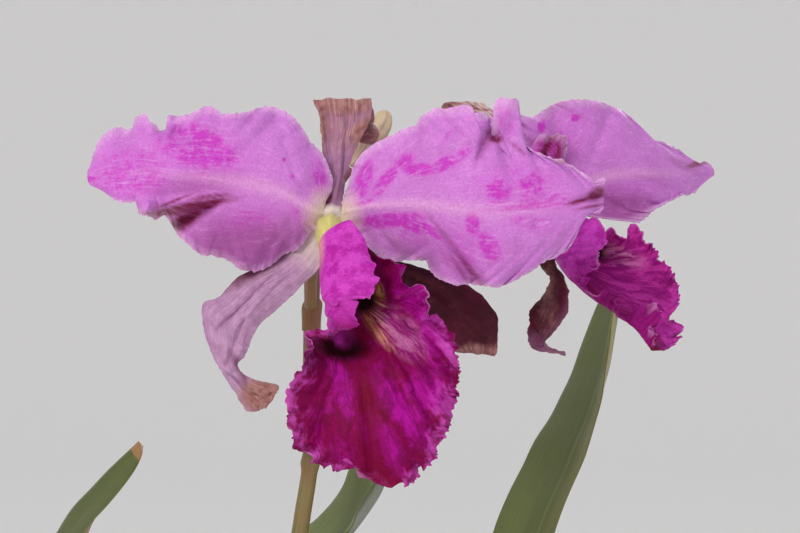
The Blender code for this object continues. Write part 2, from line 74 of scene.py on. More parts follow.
def add(tree, kind, settings=None, **links):
    """Add a node. A link is an output, a node with its first output in use, Object, UV or a named attribute.

    Settings are its properties, and its inputs by name or number. Stops are those of a colour ramp. Noise
    gives a noise its scale, detail, roughness and distortion, mix gives a mix its two colours, and smooth
    gives a smooth range where it starts, where it ends and what it rises to.
    """
    node = tree.nodes.new(kind if "Node" in kind else "ShaderNode" + kind)
    for key, value in (settings or {}).items():
        if key == "stops":
            ramp = node.color_ramp.elements
            ramp[0].position, ramp[-1].position = value[0][0], value[-1][0]
            for spot, _ in value[1:-1]:
                ramp.new(spot)
            for stop, (_, colour) in zip(ramp, value):
                stop.color = linear(colour)
        elif key in ("smooth", "noise", "mix"):
            attribute, setting, sockets = {
                "smooth": ("interpolation_type", "SMOOTHSTEP", ("From Min", "From Max", "To Max")),
                "noise": ("noise_dimensions", "3D", ("Scale", "Detail", "Roughness", "Distortion")),
                "mix": ("data_type", "RGBA", (6, 7)),
            }[key]
            setattr(node, attribute, setting)
            for socket, number in zip(sockets, value):
                node.inputs[socket].default_value = linear(number) if key == "mix" else number
        elif isinstance(key, int) or key in node.inputs:
            node.inputs[key].default_value = linear(value) if str(value).startswith("#") else value
        else:
            setattr(node, key, value)
    for key, source in links.items():
        if source in ("Object", "UV"):
            source = tree.nodes["Texture Coordinate"].outputs[source]
        elif isinstance(source, str):
            source = add(tree, "Attribute", {"attribute_name": source})
        if isinstance(source, bpy.types.Node):
            source = next(output for output in source.outputs if output.enabled)
        place = int(key[1:]) if key[1:].isdigit() else key.replace("_", " ")
        tree.links.new(source, node.inputs[place])
    return node


def stand(name, data):
    """Put an object made of the data into the scene."""
    made = bpy.data.objects.new(name, data)
    bpy.context.scene.collection.objects.link(made)
    return made


def turned(name, profile, steps, finish):
    """A piece turned about the vertical axis from its profile of radius and height in millimetres."""
    mesh = bpy.data.meshes.new(name)
    mesh.from_pydata([(radius * MM, 0, height * MM) for radius, height in profile],
                     [(index, index + 1) for index in range(len(profile) - 1)], [])
    mesh.materials.append(finish)
    piece = stand(name, mesh)
    turn = piece.modifiers.new("Turn", "SCREW")
    turn.steps = steps
    turn.render_steps = steps
    turn.use_merge_vertices = True
    turn.merge_threshold = 1e-6
    return piece


def start_material(name, settings):
    """A material of one Principled shader with its settings: it, its tree and the shader."""
    made = bpy.data.materials.new(name)
    made.use_nodes = True
    shader = made.node_tree.nodes["Principled BSDF"]
    for key, value in settings.items():
        shader.inputs[key].default_value = linear(value) if str(value).startswith("#") else value
    add(made.node_tree, "TexCoord")
    return made, made.node_tree, shader


camera_data = bpy.data.cameras.new("camera")
camera_data.lens = CAMERA_LENS
camera_data.sensor_width = CAMERA_SENSOR
camera_data.clip_end = 60.0
camera = stand("camera", camera_data)
camera.location = CAMERA_PLACE
camera.rotation_euler = (math.radians(90), 0, 0)
bpy.context.scene.camera = camera
bpy.context.scene.view_settings.view_transform = "Standard"

for name, place, aim, side, watts, colour in LAMPS:
    light = bpy.data.lights.new(name, "AREA")
    light.shape = "SQUARE"
    light.size = side
    light.energy = watts
    light.color = linear(colour)[:3]
    lamp = stand(name, light)
    lamp.location = place
    lamp.rotation_euler = (Vector(aim) - Vector(place)).to_track_quat("-Z", "Y").to_euler()

sky = bpy.data.worlds.new("sky")
sky.use_nodes = True
sky.node_tree.nodes["Background"].inputs["Color"].default_value = linear(SKY_WHITE)
sky.node_tree.nodes["Background"].inputs["Strength"].default_value = SKY_STRENGTH
bpy.context.scene.world = sky

# Matt painted plaster: an even pale grey with no gloss
bowl_paint = start_material("matt_plaster",
                            {"Base Color": BOWL_WHITE, "Roughness": 1.0, "Specular IOR Level": 0.0})[0]
bowl_profile = [(0.0, 0.0), (BOWL_FLOOR_RADIUS, 0.0)]
for step in range(1, BOWL_TURN_STEPS + 1):
    angle = math.pi / 2 * step / BOWL_TURN_STEPS
    bowl_profile.append((BOWL_FLOOR_RADIUS + BOWL_TURN_RADIUS * math.sin(angle),
                         BOWL_TURN_RADIUS * (1 - math.cos(angle))))
bowl_profile.append((BOWL_FLOOR_RADIUS + BOWL_TURN_RADIUS, BOWL_HEIGHT))
bowl = turned("studio_bowl", bowl_profile, BOWL_STEPS, bowl_paint)
bowl.modifiers["Turn"].use_smooth_shade = True

# The pot: an earthenware flower pot, turned on a wheel and fired once without a glaze, with a deep plain
# rim and three drain holes cut through its floor. The finger marks of the turning still ring its outside.
POT_HEIGHT = 115.0
POT_RIM_RADIUS = 65.0
POT_RIM_DEPTH = 20.0
POT_BASE_RADIUS = 45.0
POT_NECK_RADIUS = 61.0
POT_INSIDE_TOP = 56.0
POT_INSIDE_BASE = 39.0
POT_FLOOR = 8.0
POT_STEPS = 120
THROWING_MARKS = 34
THROWING_DEPTH = 0.16
DRAIN_HOLES = 3
DRAIN_RADIUS = 4.0
DRAIN_CIRCLE = 22.0
POT_SEED = 5


def along(points, share):
    """Points of the smooth curve through the given ones; share runs from 0 at the first to 1 at the last."""
    points = np.asarray(points, dtype=float)
    share = np.clip(share, 0.0, 1.0)
    last = len(points) - 1
    index = np.minimum((share * last).astype(int), last - 1)
    t = (share * last - index)[(...,) + (None,) * (points.ndim - 1)]
    held = np.concatenate([2 * points[:1] - points[1:2], points, 2 * points[-1:] - points[-2:-1]])
    before, start, end, after = (held[index + place] for place in range(4))
    bend = 2 * before - 5 * start + 4 * end - after
    twist = 3 * start - before - 3 * end + after
    return 0.5 * (2 * start + (end - before) * t + bend * t ** 2 + twist * t ** 3)


def ripple(share, knots, seed):
    """Smooth waves of no fixed length, from -1 to 1, with about the given number of knots."""
    heights = np.random.default_rng(seed).uniform(-1, 1, knots + 1)
    return along(heights, share)


def settle(piece):
    """Turn a piece's live modifiers into its plain mesh, smooth but for its sharp edges."""
    evaluated = piece.evaluated_get(bpy.context.evaluated_depsgraph_get())
    mesh = bpy.data.meshes.new_from_object(evaluated)
    piece.modifiers.clear()
    piece.data = mesh
    form = bmesh.new()
    form.from_mesh(mesh)
    bmesh.ops.remove_doubles(form, verts=form.verts, dist=1e-6)
    bmesh.ops.recalc_face_normals(form, faces=form.faces)
    form.to_mesh(mesh)
    form.free()
    mesh.shade_smooth()
    mesh.set_sharp_from_angle(angle=math.radians(40))


def place_piece(piece, slot, *nodes):
    """Tell the frame that a piece rides with the plant and hide the model's parts that it stands for.

    The slot is not used.
    """
    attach(piece, "root")
    if nodes:
        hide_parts(*nodes)


def lay_coats(tree, under, *coats):
    """Lay coats over a colour in turn, each with how far it covers, its strength and its colour.

    How far it covers is an attribute's name or a node; its colour is a hex colour or a node.
    """
    for cover, strength, colour in coats:
        share = add(tree, "Math", {"operation": "MULTIPLY", 1: strength, "use_clamp": True}, _0=cover)
        if isinstance(colour, str):
            under = add(tree, "Mix", {"data_type": "RGBA", 7: colour}, _0=share, _6=under)
        else:
            under = add(tree, "Mix", {"data_type": "RGBA"}, _0=share, _6=under, _7=colour)
    return under


def finish_material(tree, shader, colour, grain, low, high, *reliefs):
    """Give a shader its colour, darkened and lightened from low to high by a grain, and its reliefs.

    A relief is its strength, its depth in metres and the node that gives its height.
    """
    shade = add(tree, "MapRange", {"From Min": 0.3, "From Max": 0.7, "To Min": low, "To Max": high},
                Value=grain)
    skin = add(tree, "VectorMath", {"operation": "SCALE"}, _0=colour, _3=shade)
    tree.links.new(skin.outputs[0], shader.inputs["Base Color"])
    below = {}
    for strength, depth, height in reliefs:
        below = {"Normal": add(tree, "Bump", {"Strength": strength, "Distance": depth}, Height=height,
                               **below)}
    tree.links.new(below["Normal"].outputs[0], shader.inputs["Normal"])


# Terracotta: iron-red fired clay, unglazed and matt. Water seeping through
# the wall leaves a pale mineral bloom, worst under the rim and at the foot,
# with a little green algae low down; sand grains and pits roughen it.
terracotta, tree, shader = start_material("terracotta", {"Roughness": 0.88, "Specular IOR Level": 0.35})
height = add(tree, "SeparateXYZ", {}, Vector="Object").outputs["Z"]
clay_clouds = add(tree, "TexNoise", {"noise": (22.0, 5.0, 0.55)}, Vector="Object")
clay_grain = add(tree, "TexNoise", {"noise": (900.0, 4.0, 0.65)}, Vector="Object")
bloom_cloud = add(tree, "TexNoise", {"noise": (48.0, 7.0, 0.7)}, Vector="Object")
ring_chart = add(tree, "Mapping", {"Scale": (6.0, 6.0, 420.0)}, Vector="Object")
turning = add(tree, "TexNoise", {"noise": (1.0, 3.0, 0.6)}, Vector=ring_chart)
clay = add(tree, "ValToRGB", {"stops": ((0.3, "#8f4a33"), (0.5, "#a5604a"), (0.72, "#b87a5c"))},
           _0=clay_clouds)
bloom_low = add(tree, "MapRange", {"smooth": (0.05, 0.0, 0.55)}, Value=height)
bloom_high = add(tree, "MapRange", {"smooth": (0.07, 0.096, 0.4)}, Value=height)
bloom_belts = add(tree, "Math", {"operation": "MAXIMUM"}, _0=bloom_low, _1=bloom_high)
bloom_sum = add(tree, "Math", {}, _0=bloom_belts, _1=bloom_cloud)
bloom = add(tree, "MapRange", {"smooth": (0.62, 1.12, 0.62)}, Value=bloom_sum)
algae_low = add(tree, "MapRange", {"From Min": 0.04, "From Max": 0.0, "To Max": 0.5}, Value=height)
algae_sum = add(tree, "Math", {}, _0=algae_low, _1=clay_clouds)
algae = add(tree, "MapRange", {"smooth": (0.68, 1.15, 0.6)}, Value=algae_sum)
fired = lay_coats(tree, clay, (bloom, 1, "#d3bfae"), (algae, 1, "#5d6140"))
finish_material(tree, shader, fired, clay_grain, 0.86, 1.1, (0.35, 0.0006, turning),
                (0.5, 0.0004, clay_grain))


def pot_inside(height):
    """The radius of the pot's inner wall at a height."""
    return POT_INSIDE_BASE + (POT_INSIDE_TOP - POT_INSIDE_BASE) * height / POT_HEIGHT


body_top = POT_HEIGHT - POT_RIM_DEPTH
marks_from = 1.6
marks_to = body_top - 1.0
mark_share = np.linspace(0, 1, 3 * THROWING_MARKS)
mark_heights = marks_to + (marks_from - marks_to) * mark_share
mark_radii = (POT_BASE_RADIUS + (POT_NECK_RADIUS - POT_BASE_RADIUS) * mark_heights / body_top - 0.2
              + THROWING_DEPTH * ripple(mark_share, THROWING_MARKS, POT_SEED))
inside_heights = np.linspace(POT_FLOOR + 2.2, POT_HEIGHT - 1.6, 24)
pot_profile = (
    (0, POT_FLOOR), (24, POT_FLOOR), (pot_inside(POT_FLOOR) - 2.2, POT_FLOOR),
    (pot_inside(POT_FLOOR) - 0.7, POT_FLOOR + 0.6),
    *((pot_inside(height), height) for height in inside_heights),
    (pot_inside(POT_HEIGHT) + 0.5, POT_HEIGHT - 0.5), (pot_inside(POT_HEIGHT) + 1.6, POT_HEIGHT - 0.05),
    (60.5, POT_HEIGHT), (63.2, POT_HEIGHT - 0.05), (64.4, POT_HEIGHT - 0.5),
    (POT_RIM_RADIUS, POT_HEIGHT - 1.7), (64.9, 109), (64.65, 104.5), (64.5, 101), (64.25, 97.4),
    (64.05, 96.2), (63.5, 95.3), (62.6, body_top), (61.4, body_top + 0.05), (61.0, body_top - 0.3),
    *zip(mark_radii, mark_heights), (POT_BASE_RADIUS - 0.3, 0.7), (POT_BASE_RADIUS - 1.3, 0.0), (0, 0),
)
pot = turned("earthenware_pot", pot_profile, POT_STEPS, terracotta)
drill = bmesh.new()
for number in range(DRAIN_HOLES):
    angle = math.tau * number / DRAIN_HOLES + math.radians(30)
    spot = (DRAIN_CIRCLE * MM * math.cos(angle), DRAIN_CIRCLE * MM * math.sin(angle), 0)
    bmesh.ops.create_cone(drill, cap_ends=True, segments=32, radius1=DRAIN_RADIUS * MM,
                          radius2=DRAIN_RADIUS * MM, depth=4 * POT_FLOOR * MM,
                          matrix=Matrix.Translation(spot))
drill_mesh = bpy.data.meshes.new("drain_drill")
drill.to_mesh(drill_mesh)
drill.free()
drain_drill = stand("drain_drill", drill_mesh)
drilling = pot.modifiers.new("Drain holes", "BOOLEAN")
drilling.operation = "DIFFERENCE"
drilling.solver = "EXACT"
drilling.object = drain_drill
settle(pot)
bpy.data.objects.remove(drain_drill)
place_piece(pot, "clay", "pot")

# The bark mix: chunks of composted fir bark, 8 to 16 mm long, poured in round the roots
# and watered down for some years. The chips lie loose on a bed of darker, finer crumbs.
BARK_TOP = 101.0
BARK_CLEARANCE = 0.36
BED_STEPS = 90
CHIP_SPACING = 5.2
CHIP_SIZE = (13.0, 9.0, 5.0)
CHIP_SPREAD = 46.0
CHIP_SEED = 23
CHIP_HEIGHT = 102.6
CHIP_RAGGEDNESS = 3.2
CHIP_DENSITY = 90000.0
# Height in millimetres and pitch of the bed's lumps
BED_LUMPS = ((1.6, 130), (0.8, 420))

# Composted bark: corky, layered and matt, from dark wet
# brown to fox red where a chip has split, greyed with age
orchid_bark, tree, shader = start_material("orchid_bark", {"Roughness": 0.92, "Specular IOR Level": 0.3})
fibre_chart = add(tree, "Mapping", {"Rotation": (0.4, 0.7, 0.2), "Scale": (120.0, 700.0, 500.0)},
                  Vector="Object")
fibres = add(tree, "TexNoise", {"noise": (1.0, 5.0, 0.65)}, Vector=fibre_chart)
cork = add(tree, "TexNoise", {"noise": (260.0, 5.0, 0.7)}, Vector="Object")
tone_mix = add(tree, "Mix", {"data_type": "FLOAT", 0: 0.45}, _2=cork, _3="tone")
barks = add(tree, "ValToRGB",
            {"stops": ((0.2, "#21150f"), (0.42, "#55311f"), (0.62, "#7c4a2c"), (0.84, "#8d7a68"))},
            _0=tone_mix)
finish_material(tree, shader, barks, fibres, 0.65, 1.2, (0.7, 0.0008, cork), (0.6, 0.0004, fibres))

bed_edge = pot_inside(BARK_TOP) - BARK_CLEARANCE
bed_profile = (
    *((bed_edge * share, BARK_TOP) for share in np.linspace(0, 0.98, 30)),
    (bed_edge, BARK_TOP - 0.6),
    *((pot_inside(height) - BARK_CLEARANCE, height) for height in (80.0, 50.0, 20.0, POT_FLOOR + 0.3)),
    (0, POT_FLOOR + 0.3),
)
bark_bed = turned("bark_bed", bed_profile, BED_STEPS, orchid_bark)
settle(bark_bed)
for vertex in bark_bed.data.vertices:
    if vertex.co.z > (BARK_TOP - 0.5) * MM:
        lumps = [height * MM * noise.noise(vertex.co * pitch) for height, pitch in BED_LUMPS]
        vertex.co.z += sum(lumps)
place_piece(bark_bed, "bark", "bark_mix")

chip_tree = bpy.data.node_groups.new("bark_chips", "GeometryNodeTree")
chip_tree.is_modifier = True
chip_tree.interface.new_socket("Geometry", in_out="OUTPUT", socket_type="NodeSocketGeometry")
chip_inputs = {}
for label, kind, value in (("Spread", "NodeSocketFloat", CHIP_SPREAD * MM),
                           ("Height", "NodeSocketFloat", CHIP_HEIGHT * MM),
                           ("Spacing", "NodeSocketFloat", CHIP_SPACING * MM),
                           ("Chip Size", "NodeSocketVector", [side * MM for side in CHIP_SIZE]),
                           ("Raggedness", "NodeSocketFloat", CHIP_RAGGEDNESS * MM),
                           ("Seed", "NodeSocketInt", CHIP_SEED), ("Bark", "NodeSocketMaterial", orchid_bark)):
    chip_inputs[label] = (chip_tree.interface.new_socket(label, in_out="INPUT", socket_type=kind), value)
given = add(chip_tree, "NodeGroupInput")
seeds = [add(chip_tree, "Math", {1: float(step)}, _0=given.outputs["Seed"]).outputs[0] for step in range(4)]
disc = add(chip_tree, "GeometryNodeMeshCircle", {"Vertices": 48, "fill_type": "NGON"},
           Radius=given.outputs["Spread"])
lift = add(chip_tree, "CombineXYZ", {}, Z=given.outputs["Height"])
raised = add(chip_tree, "GeometryNodeTransform", {}, Geometry=disc, Translation=lift)
scattered = add(chip_tree, "GeometryNodeDistributePointsOnFaces",
                {"distribute_method": "POISSON", "Density Max": CHIP_DENSITY}, Mesh=raised,
                Distance_Min=given.outputs["Spacing"], Seed=given.outputs["Seed"])
jolt = add(chip_tree, "FunctionNodeRandomValue", {"data_type": "FLOAT_VECTOR", 0: (-0.001, -0.001, -0.0022),
                                                  1: (0.001, 0.001, 0.0018)}, Seed=seeds[0])
shaken = add(chip_tree, "GeometryNodeSetPosition", {}, Geometry=scattered.outputs["Points"], Offset=jolt)
block = add(chip_tree, "GeometryNodeMeshCube", {"Vertices X": 4, "Vertices Y": 3, "Vertices Z": 3},
            Size=given.outputs["Chip Size"])
tumble = add(chip_tree, "FunctionNodeRandomValue", {"data_type": "FLOAT_VECTOR", 0: (-0.45, -0.45, 0.0),
                                                    1: (0.45, 0.45, 6.28)}, Seed=seeds[1])
growth = add(chip_tree, "FunctionNodeRandomValue", {"data_type": "FLOAT_VECTOR", 0: (0.55, 0.5, 0.6),
                                                    1: (1.15, 1.1, 1.1)}, Seed=seeds[2])
poured = add(chip_tree, "GeometryNodeInstanceOnPoints", {}, Points=shaken, Instance=block.outputs["Mesh"],
             Rotation=tumble, Scale=growth)
tones = add(chip_tree, "FunctionNodeRandomValue", {"data_type": "FLOAT"}, Seed=seeds[3])
toned = add(chip_tree, "GeometryNodeStoreNamedAttribute",
            {"data_type": "FLOAT", "domain": "INSTANCE", "Name": "tone"}, Geometry=poured,
            Value=tones.outputs[1])
solid = add(chip_tree, "GeometryNodeRealizeInstances", {}, Geometry=toned)
where = add(chip_tree, "GeometryNodeInputPosition")
lumps = add(chip_tree, "TexNoise", {"Scale": 170.0, "Detail": 2.0}, Vector=where)
centred_lumps = add(chip_tree, "VectorMath", {"operation": "SUBTRACT", 1: (0.5, 0.5, 0.5)},
                    _0=lumps.outputs["Color"])
lump_offset = add(chip_tree, "VectorMath", {"operation": "SCALE"}, _0=centred_lumps,
                  _3=given.outputs["Raggedness"])
broken_chips = add(chip_tree, "GeometryNodeSetPosition", {}, Geometry=solid, Offset=lump_offset)
clad = add(chip_tree, "GeometryNodeSetMaterial", {}, Geometry=broken_chips, Material=given.outputs["Bark"])
add(chip_tree, "NodeGroupOutput", {}, _0=clad)
bark_chips = stand("bark_chips", bpy.data.meshes.new("bark_chips"))
pouring = bark_chips.modifiers.new("Chips", "NODES")
pouring.node_group = chip_tree
for socket, value in chip_inputs.values():
    pouring[socket.identifier] = value
chip_mesh = bpy.data.meshes.new_from_object(bark_chips.evaluated_get(bpy.context.evaluated_depsgraph_get()))
bark_chips.modifiers.clear()
bark_chips.data = chip_mesh
place_piece(bark_chips, "bark")

# The rhizome: the creeping stem that every bulb stands on, as thick as a pencil, ringed
# by the scars of its scales and lying half in the bark. It dries to a woody brown.
# Places along the rhizome: x, y
RHIZOME = ((-43, 14), (-36, 12), (-17, 9), (2, 16), (21, 20), (40, 14), (47, 9))
RHIZOME_HEIGHT = 108.3
RHIZOME_RADIUS = 5.0
RHIZOME_RINGS = 15
RING_DEPTH = 0.45
NOTCH_DEPTH = 0.35
NOTCH_SHARE = 0.08
RHIZOME_LENGTH = 96
RHIZOME_GRID = (240, 40)


def unit(vectors):
    """Vectors made one long."""
    return vectors / np.maximum(np.linalg.norm(vectors, axis=-1, keepdims=True), 1e-12)


def girth_grid(rows, sides):
    """Shares along a round piece as a column, and directions round it as a row."""
    return np.linspace(0, 1, rows)[:, None], np.linspace(0, math.tau, sides, endpoint=False)[None, :]


def grown(name, vertices, faces, chart, paint, finish, slot, nodes):
    """Make and place a smooth piece from vertices in millimetres, a UV map and what is painted on it."""
    mesh = bpy.data.meshes.new(name)
    mesh.from_pydata((vertices * MM).tolist(), [], faces)
    mesh.shade_smooth()
    mesh.uv_layers.new(name="length_and_breadth").data.foreach_set("uv", chart.ravel())
    for key, values in paint.items():
        mesh.attributes.new(key, "FLOAT", "POINT").data.foreach_set("value", values)
    mesh.materials.append(finish)
    place_piece(stand(name, mesh), slot, *nodes)


def round_piece(name, line, radii, finish, slot, *nodes, paint=None):
    """A closed round piece along a line, in millimetres.

    The radii have a row for each place of the line and a column for each direction round it. UV runs along
    and round it, and so does the paint, a grid or a number for each attribute that the finish reads.
    """
    rows, sides = radii.shape
    centres = np.reshape(line, (rows, -1))[:, :3]
    heading = unit(np.gradient(centres, axis=0))
    side = np.cross(heading[0], (0.31, 0.95, 0.05))
    frames = []
    for forward in heading:
        side = unit(side - forward * np.dot(side, forward))
        frames.append((side, np.cross(forward, side)))
    frames = np.array(frames)
    angle = np.linspace(0, math.tau, sides, endpoint=False)[:, None]
    outward = np.cos(angle) * frames[:, :1] + np.sin(angle) * frames[:, 1:]
    skin = centres[:, None] + outward * radii[..., None]
    vertices = np.concatenate([skin.reshape(-1, 3), centres[:1], centres[-1:]])
    index = np.arange(rows * sides).reshape(rows, sides)
    turned_index = np.roll(index, -1, axis=1)
    walls = np.stack([index[:-1], turned_index[:-1], turned_index[1:], index[1:]], axis=-1).reshape(-1, 4)
    foot, head = rows * sides, rows * sides + 1
    faces = walls.tolist()
    faces += [(foot, turned_index[0, place], index[0, place]) for place in range(sides)]
    faces += [(head, index[-1, place], turned_index[-1, place]) for place in range(sides)]
    share_along = np.linspace(0, 1, rows)
    share_round = np.linspace(0, 1, sides + 1)
    lower, upper = np.meshgrid(share_along[:-1], share_round[:-1], indexing="ij")
    next_lower, next_upper = np.meshgrid(share_along[1:], share_round[1:], indexing="ij")
    wall_chart = np.stack([np.stack([lower, upper], -1), np.stack([lower, next_upper], -1),
                           np.stack([next_lower, next_upper], -1), np.stack([next_lower, upper], -1)], axis=2)
    cap_chart = []
    for level, turns in ((0.0, (0.5, 1.0, 0.0)), (1.0, (0.5, 0.0, 1.0))):
        for place in range(sides):
            cap_chart += [(level, (place + turn) / sides) for turn in turns]
    chart = np.concatenate([wall_chart.reshape(-1, 2), np.array(cap_chart)])
    painted = {}
    for key, values in (paint or {}).items():
        values = values * np.ones((rows, sides))
        painted[key] = np.concatenate([values.ravel(), values[0, :1], values[-1, :1]])
    grown(name, vertices, faces, chart, painted, finish, slot, nodes)


def rounded_ends(share, length, radius):
    """How far a round piece's radius has grown at each share of its length, with domed ends."""
    from_end = np.minimum(share, 1 - share) * length / radius
    return np.sqrt(np.clip(1 - (1 - np.clip(from_end, 0, 1)) ** 2, 0.0004, 1))


# Woody rind: fibrous along the stem, brown with pale torn edges
woody_rind, tree, shader = start_material("woody_rind", {"Roughness": 0.8})
rind_chart = add(tree, "Mapping", {"Scale": (22.0, 16.0, 1.0)}, Vector="UV")
rind_fibres = add(tree, "TexNoise", {"noise": (1.0, 6.0, 0.65, 0.6)}, Vector=rind_chart)
rind = add(tree, "ValToRGB", {"stops": ((0.32, "#3a2718"), (0.55, "#6f6238"), (0.7, "#a68e68"))},
           _0=rind_fibres)
finish_material(tree, shader, rind, rind_fibres, 0.95, 1.05, (0.6, 0.0006, rind_fibres))

share, angle = girth_grid(*RHIZOME_GRID)
rhizome_line = along([(x, y, RHIZOME_HEIGHT) for x, y in RHIZOME], share)
ring_phase = (share * RHIZOME_RINGS) % 1.0
ring_lip = RING_DEPTH * ring_phase ** 3 - NOTCH_DEPTH * (ring_phase < NOTCH_SHARE)
rhizome_radii = (RHIZOME_RADIUS - RING_DEPTH + ring_lip) * rounded_ends(share, RHIZOME_LENGTH, RHIZOME_RADIUS)
rhizome_radii = rhizome_radii + 0.12 * np.sin(9 * angle + 3) * ripple(share, 40, 3)
round_piece("rhizome_stem", rhizome_line, rhizome_radii, woody_rind, "rhizome", "rhizome")

# The bulbs: five swollen stems, each one year's growth. They are club-shaped, green and glossy when young
# and grow furrowed as they give up their water, and their lower part is wrapped in dry papery sheaths.
# Foot x, y; top x, y, z; greatest radius
BULBS = {
    "pseudobulb_1": ((-17, 9), (-34.5, 1.5, 245), 11.5),
    "pseudobulb_2": ((21, 20), (31, 45, 200), 11),
    "pseudobulb_3": ((-36, 12), (-58, -2, 185), 10.5),
    "pseudobulb_4": ((2, 16), (5, 40, 205), 10.5),
    "pseudobulb_5": ((40, 14), (72, 15, 175), 11),
}
BULB_FOOT = 113.6
BULB_GRID = (150, 80)
FURROWS = 9
FURROW_DEPTH = 0.75
# Height above a bulb's foot and radius there, and the same from its crown down
BULB_FOOT_STATIONS = ((-4, 4.2), (0, 4.5), (5, 4.8), (10, 5.7))
BULB_NECK_STATIONS = ((-5, 8.3), (0, 8.0))
# Share of the way up a bulb, and of its greatest radius, at three stations of its body
BULB_BODY = ((0.35, 0.75), (0.62, 1.0), (0.84, 0.94))
# Shares of a bulb's height at which its joints ring it
BULB_JOINTS = (0.16, 0.36, 0.62)
BULB_JOINT_DEPTH = 0.3
BULB_JOINT_SHARE = 0.007
# Shares of the way up at which each sheath starts and ends, and the way round that its opening faces
BULB_SHEATHS = ((0.2, 0.5, 2.4), (0.33, 0.74, 0.6))
SHEATH_GRID = (44, 90)
SHEATH_THICKNESS = 0.25
# How far a sheath stands off its bulb, more for each layer and at its torn top, and how far it waves
SHEATH_GAP = 0.35
SHEATH_LAYER_GAP = 0.3
SHEATH_FLARE = 1.0
SHEATH_WAVE = 0.35
# How far round each side of a sheath reaches, and by how much less at its top
SHEATH_WRAP = 2.75
SHEATH_OPENING = 0.5
SHEATH_TEARS = ((0.12, 26, 90), (0.05, 70, 60))

# Bulb skin: a waxy leathery green rind over stringy flesh, yellower on the ridges,
# with fine lengthwise lines and small corky freckles
bulb_skin, tree, shader = start_material("bulb_skin", {
    "Roughness": 0.38, "IOR": 1.45, "Subsurface Weight": 0.06, "Subsurface Radius": (0.6, 1.0, 0.3),
    "Subsurface Scale": 0.001})
line_chart = add(tree, "Mapping", {"Scale": (3.0, 60.0, 1.0)}, Vector="UV")
fine_lines = add(tree, "TexNoise", {"noise": (1.0, 4.0, 0.6)}, Vector=line_chart)
skin_clouds = add(tree, "TexNoise", {"noise": (60.0, 4.0, 0.6)}, Vector="Object")
freckle_noise = add(tree, "TexVoronoi", {"Scale": 240.0, "Randomness": 1.0}, Vector="Object")
freckles = add(tree, "MapRange", {"smooth": (0.2, 0.1, 0.45)}, Value=freckle_noise)
greens = add(tree, "Mix", {"mix": ("#56652f", "#8a9150")}, _0=skin_clouds)
rinds = lay_coats(tree, greens, ("ridge", 0.5, "#a9a665"), ("joint", 1, "#8b7a58"), (freckles, 1, "#4b3a22"))
finish_material(tree, shader, rinds, fine_lines, 0.82, 1.14, (0.35, 0.0004, fine_lines))

# Dry sheath: the skeleton of a leafy scale, thin as tissue paper,
# silvery tan with brown fibres along it and a torn upper edge
dry_sheath, tree, shader = start_material("dry_sheath", {
    "Roughness": 0.7, "Subsurface Weight": 0.1, "Subsurface Radius": (1.0, 0.8, 0.5),
    "Subsurface Scale": 0.001})
paper_chart = add(tree, "Mapping", {"Scale": (2.5, 48.0, 1.0)}, Vector="UV")
paper_fibres = add(tree, "TexNoise", {"noise": (1.0, 5.0, 0.65)}, Vector=paper_chart)
paper_stains = add(tree, "TexNoise", {"noise": (90.0, 5.0, 0.6)}, Vector="Object")
paper = add(tree, "Mix", {"mix": ("#d9cdb4", "#b49a74")}, _0=paper_stains)
fibre_lines = add(tree, "MapRange", {"smooth": (0.52, 0.68, 0.65)}, Value=paper_fibres)
fibred = lay_coats(tree, paper, (fibre_lines, 1, "#6f5236"))
finish_material(tree, shader, fibred, paper_stains, 0.97, 1.03, (0.6, 0.0004, paper_fibres))


def ripples(share, waves, seed):
    """A sum of ripples, each with its depth, its number of knots and what it adds to the seed."""
    return sum(depth * ripple(share, knots, seed + step) for depth, knots, step in waves)


def sheet_grid(rows, columns):
    """Shares along a sheet as a column, and shares across it from -1 to 1 as a row."""
    return np.linspace(0, 1, rows)[:, None], np.linspace(-1, 1, columns)[None, :]


def heading_along(points, share):
    """Which way the smooth curve through the points runs at each share of it."""
    step = 0.01
    return unit(along(points, share + step) - along(points, share - step))


def normals_of(places):
    """The unit normal at each place of a grid."""
    return unit(np.cross(np.gradient(places, axis=0), np.gradient(places, axis=1)))


def thin_piece(name, places, thickness, finish, slot, *nodes, paint=None):
    """A thin closed piece from a grid of places in millimetres. Its UV map runs along and across it.

    Paint is a grid or a number for each attribute that the finish reads. The attribute back is 1 on the far
    side.
    """
    rows, columns = places.shape[:2]
    whole = np.ones((rows, columns))
    half = normals_of(places) * (thickness * whole)[..., None] / 2
    vertices = np.concatenate([(places + half).reshape(-1, 3), (places - half).reshape(-1, 3)])
    index = np.arange(rows * columns).reshape(rows, columns)
    one, two, three, four = index[:-1, :-1], index[1:, :-1], index[1:, 1:], index[:-1, 1:]
    front = np.stack([one, two, three, four], axis=-1).reshape(-1, 4)
    back = np.stack([four, three, two, one], axis=-1).reshape(-1, 4) + rows * columns
    edge = np.concatenate([index[:, 0], index[-1, 1:], index[-2::-1, -1], index[0, -2:0:-1]])
    following = np.roll(edge, -1)
    rim = np.stack([following, edge, edge + rows * columns, following + rows * columns], axis=-1)
    faces = np.concatenate([front, back, rim])
    lengthways, crossways = np.meshgrid(np.linspace(0, 1, rows), np.linspace(0, 1, columns), indexing="ij")
    flat = np.stack([lengthways.ravel(), crossways.ravel()], axis=-1)
    chart = np.concatenate([flat, flat])[faces.ravel()]
    painted = {key: np.tile((values * whole).ravel(), 2) for key, values in (paint or {}).items()}
    painted["back"] = np.repeat([0.0, 1.0], rows * columns)
    grown(name, vertices, faces.tolist(), chart, painted, finish, slot, nodes)


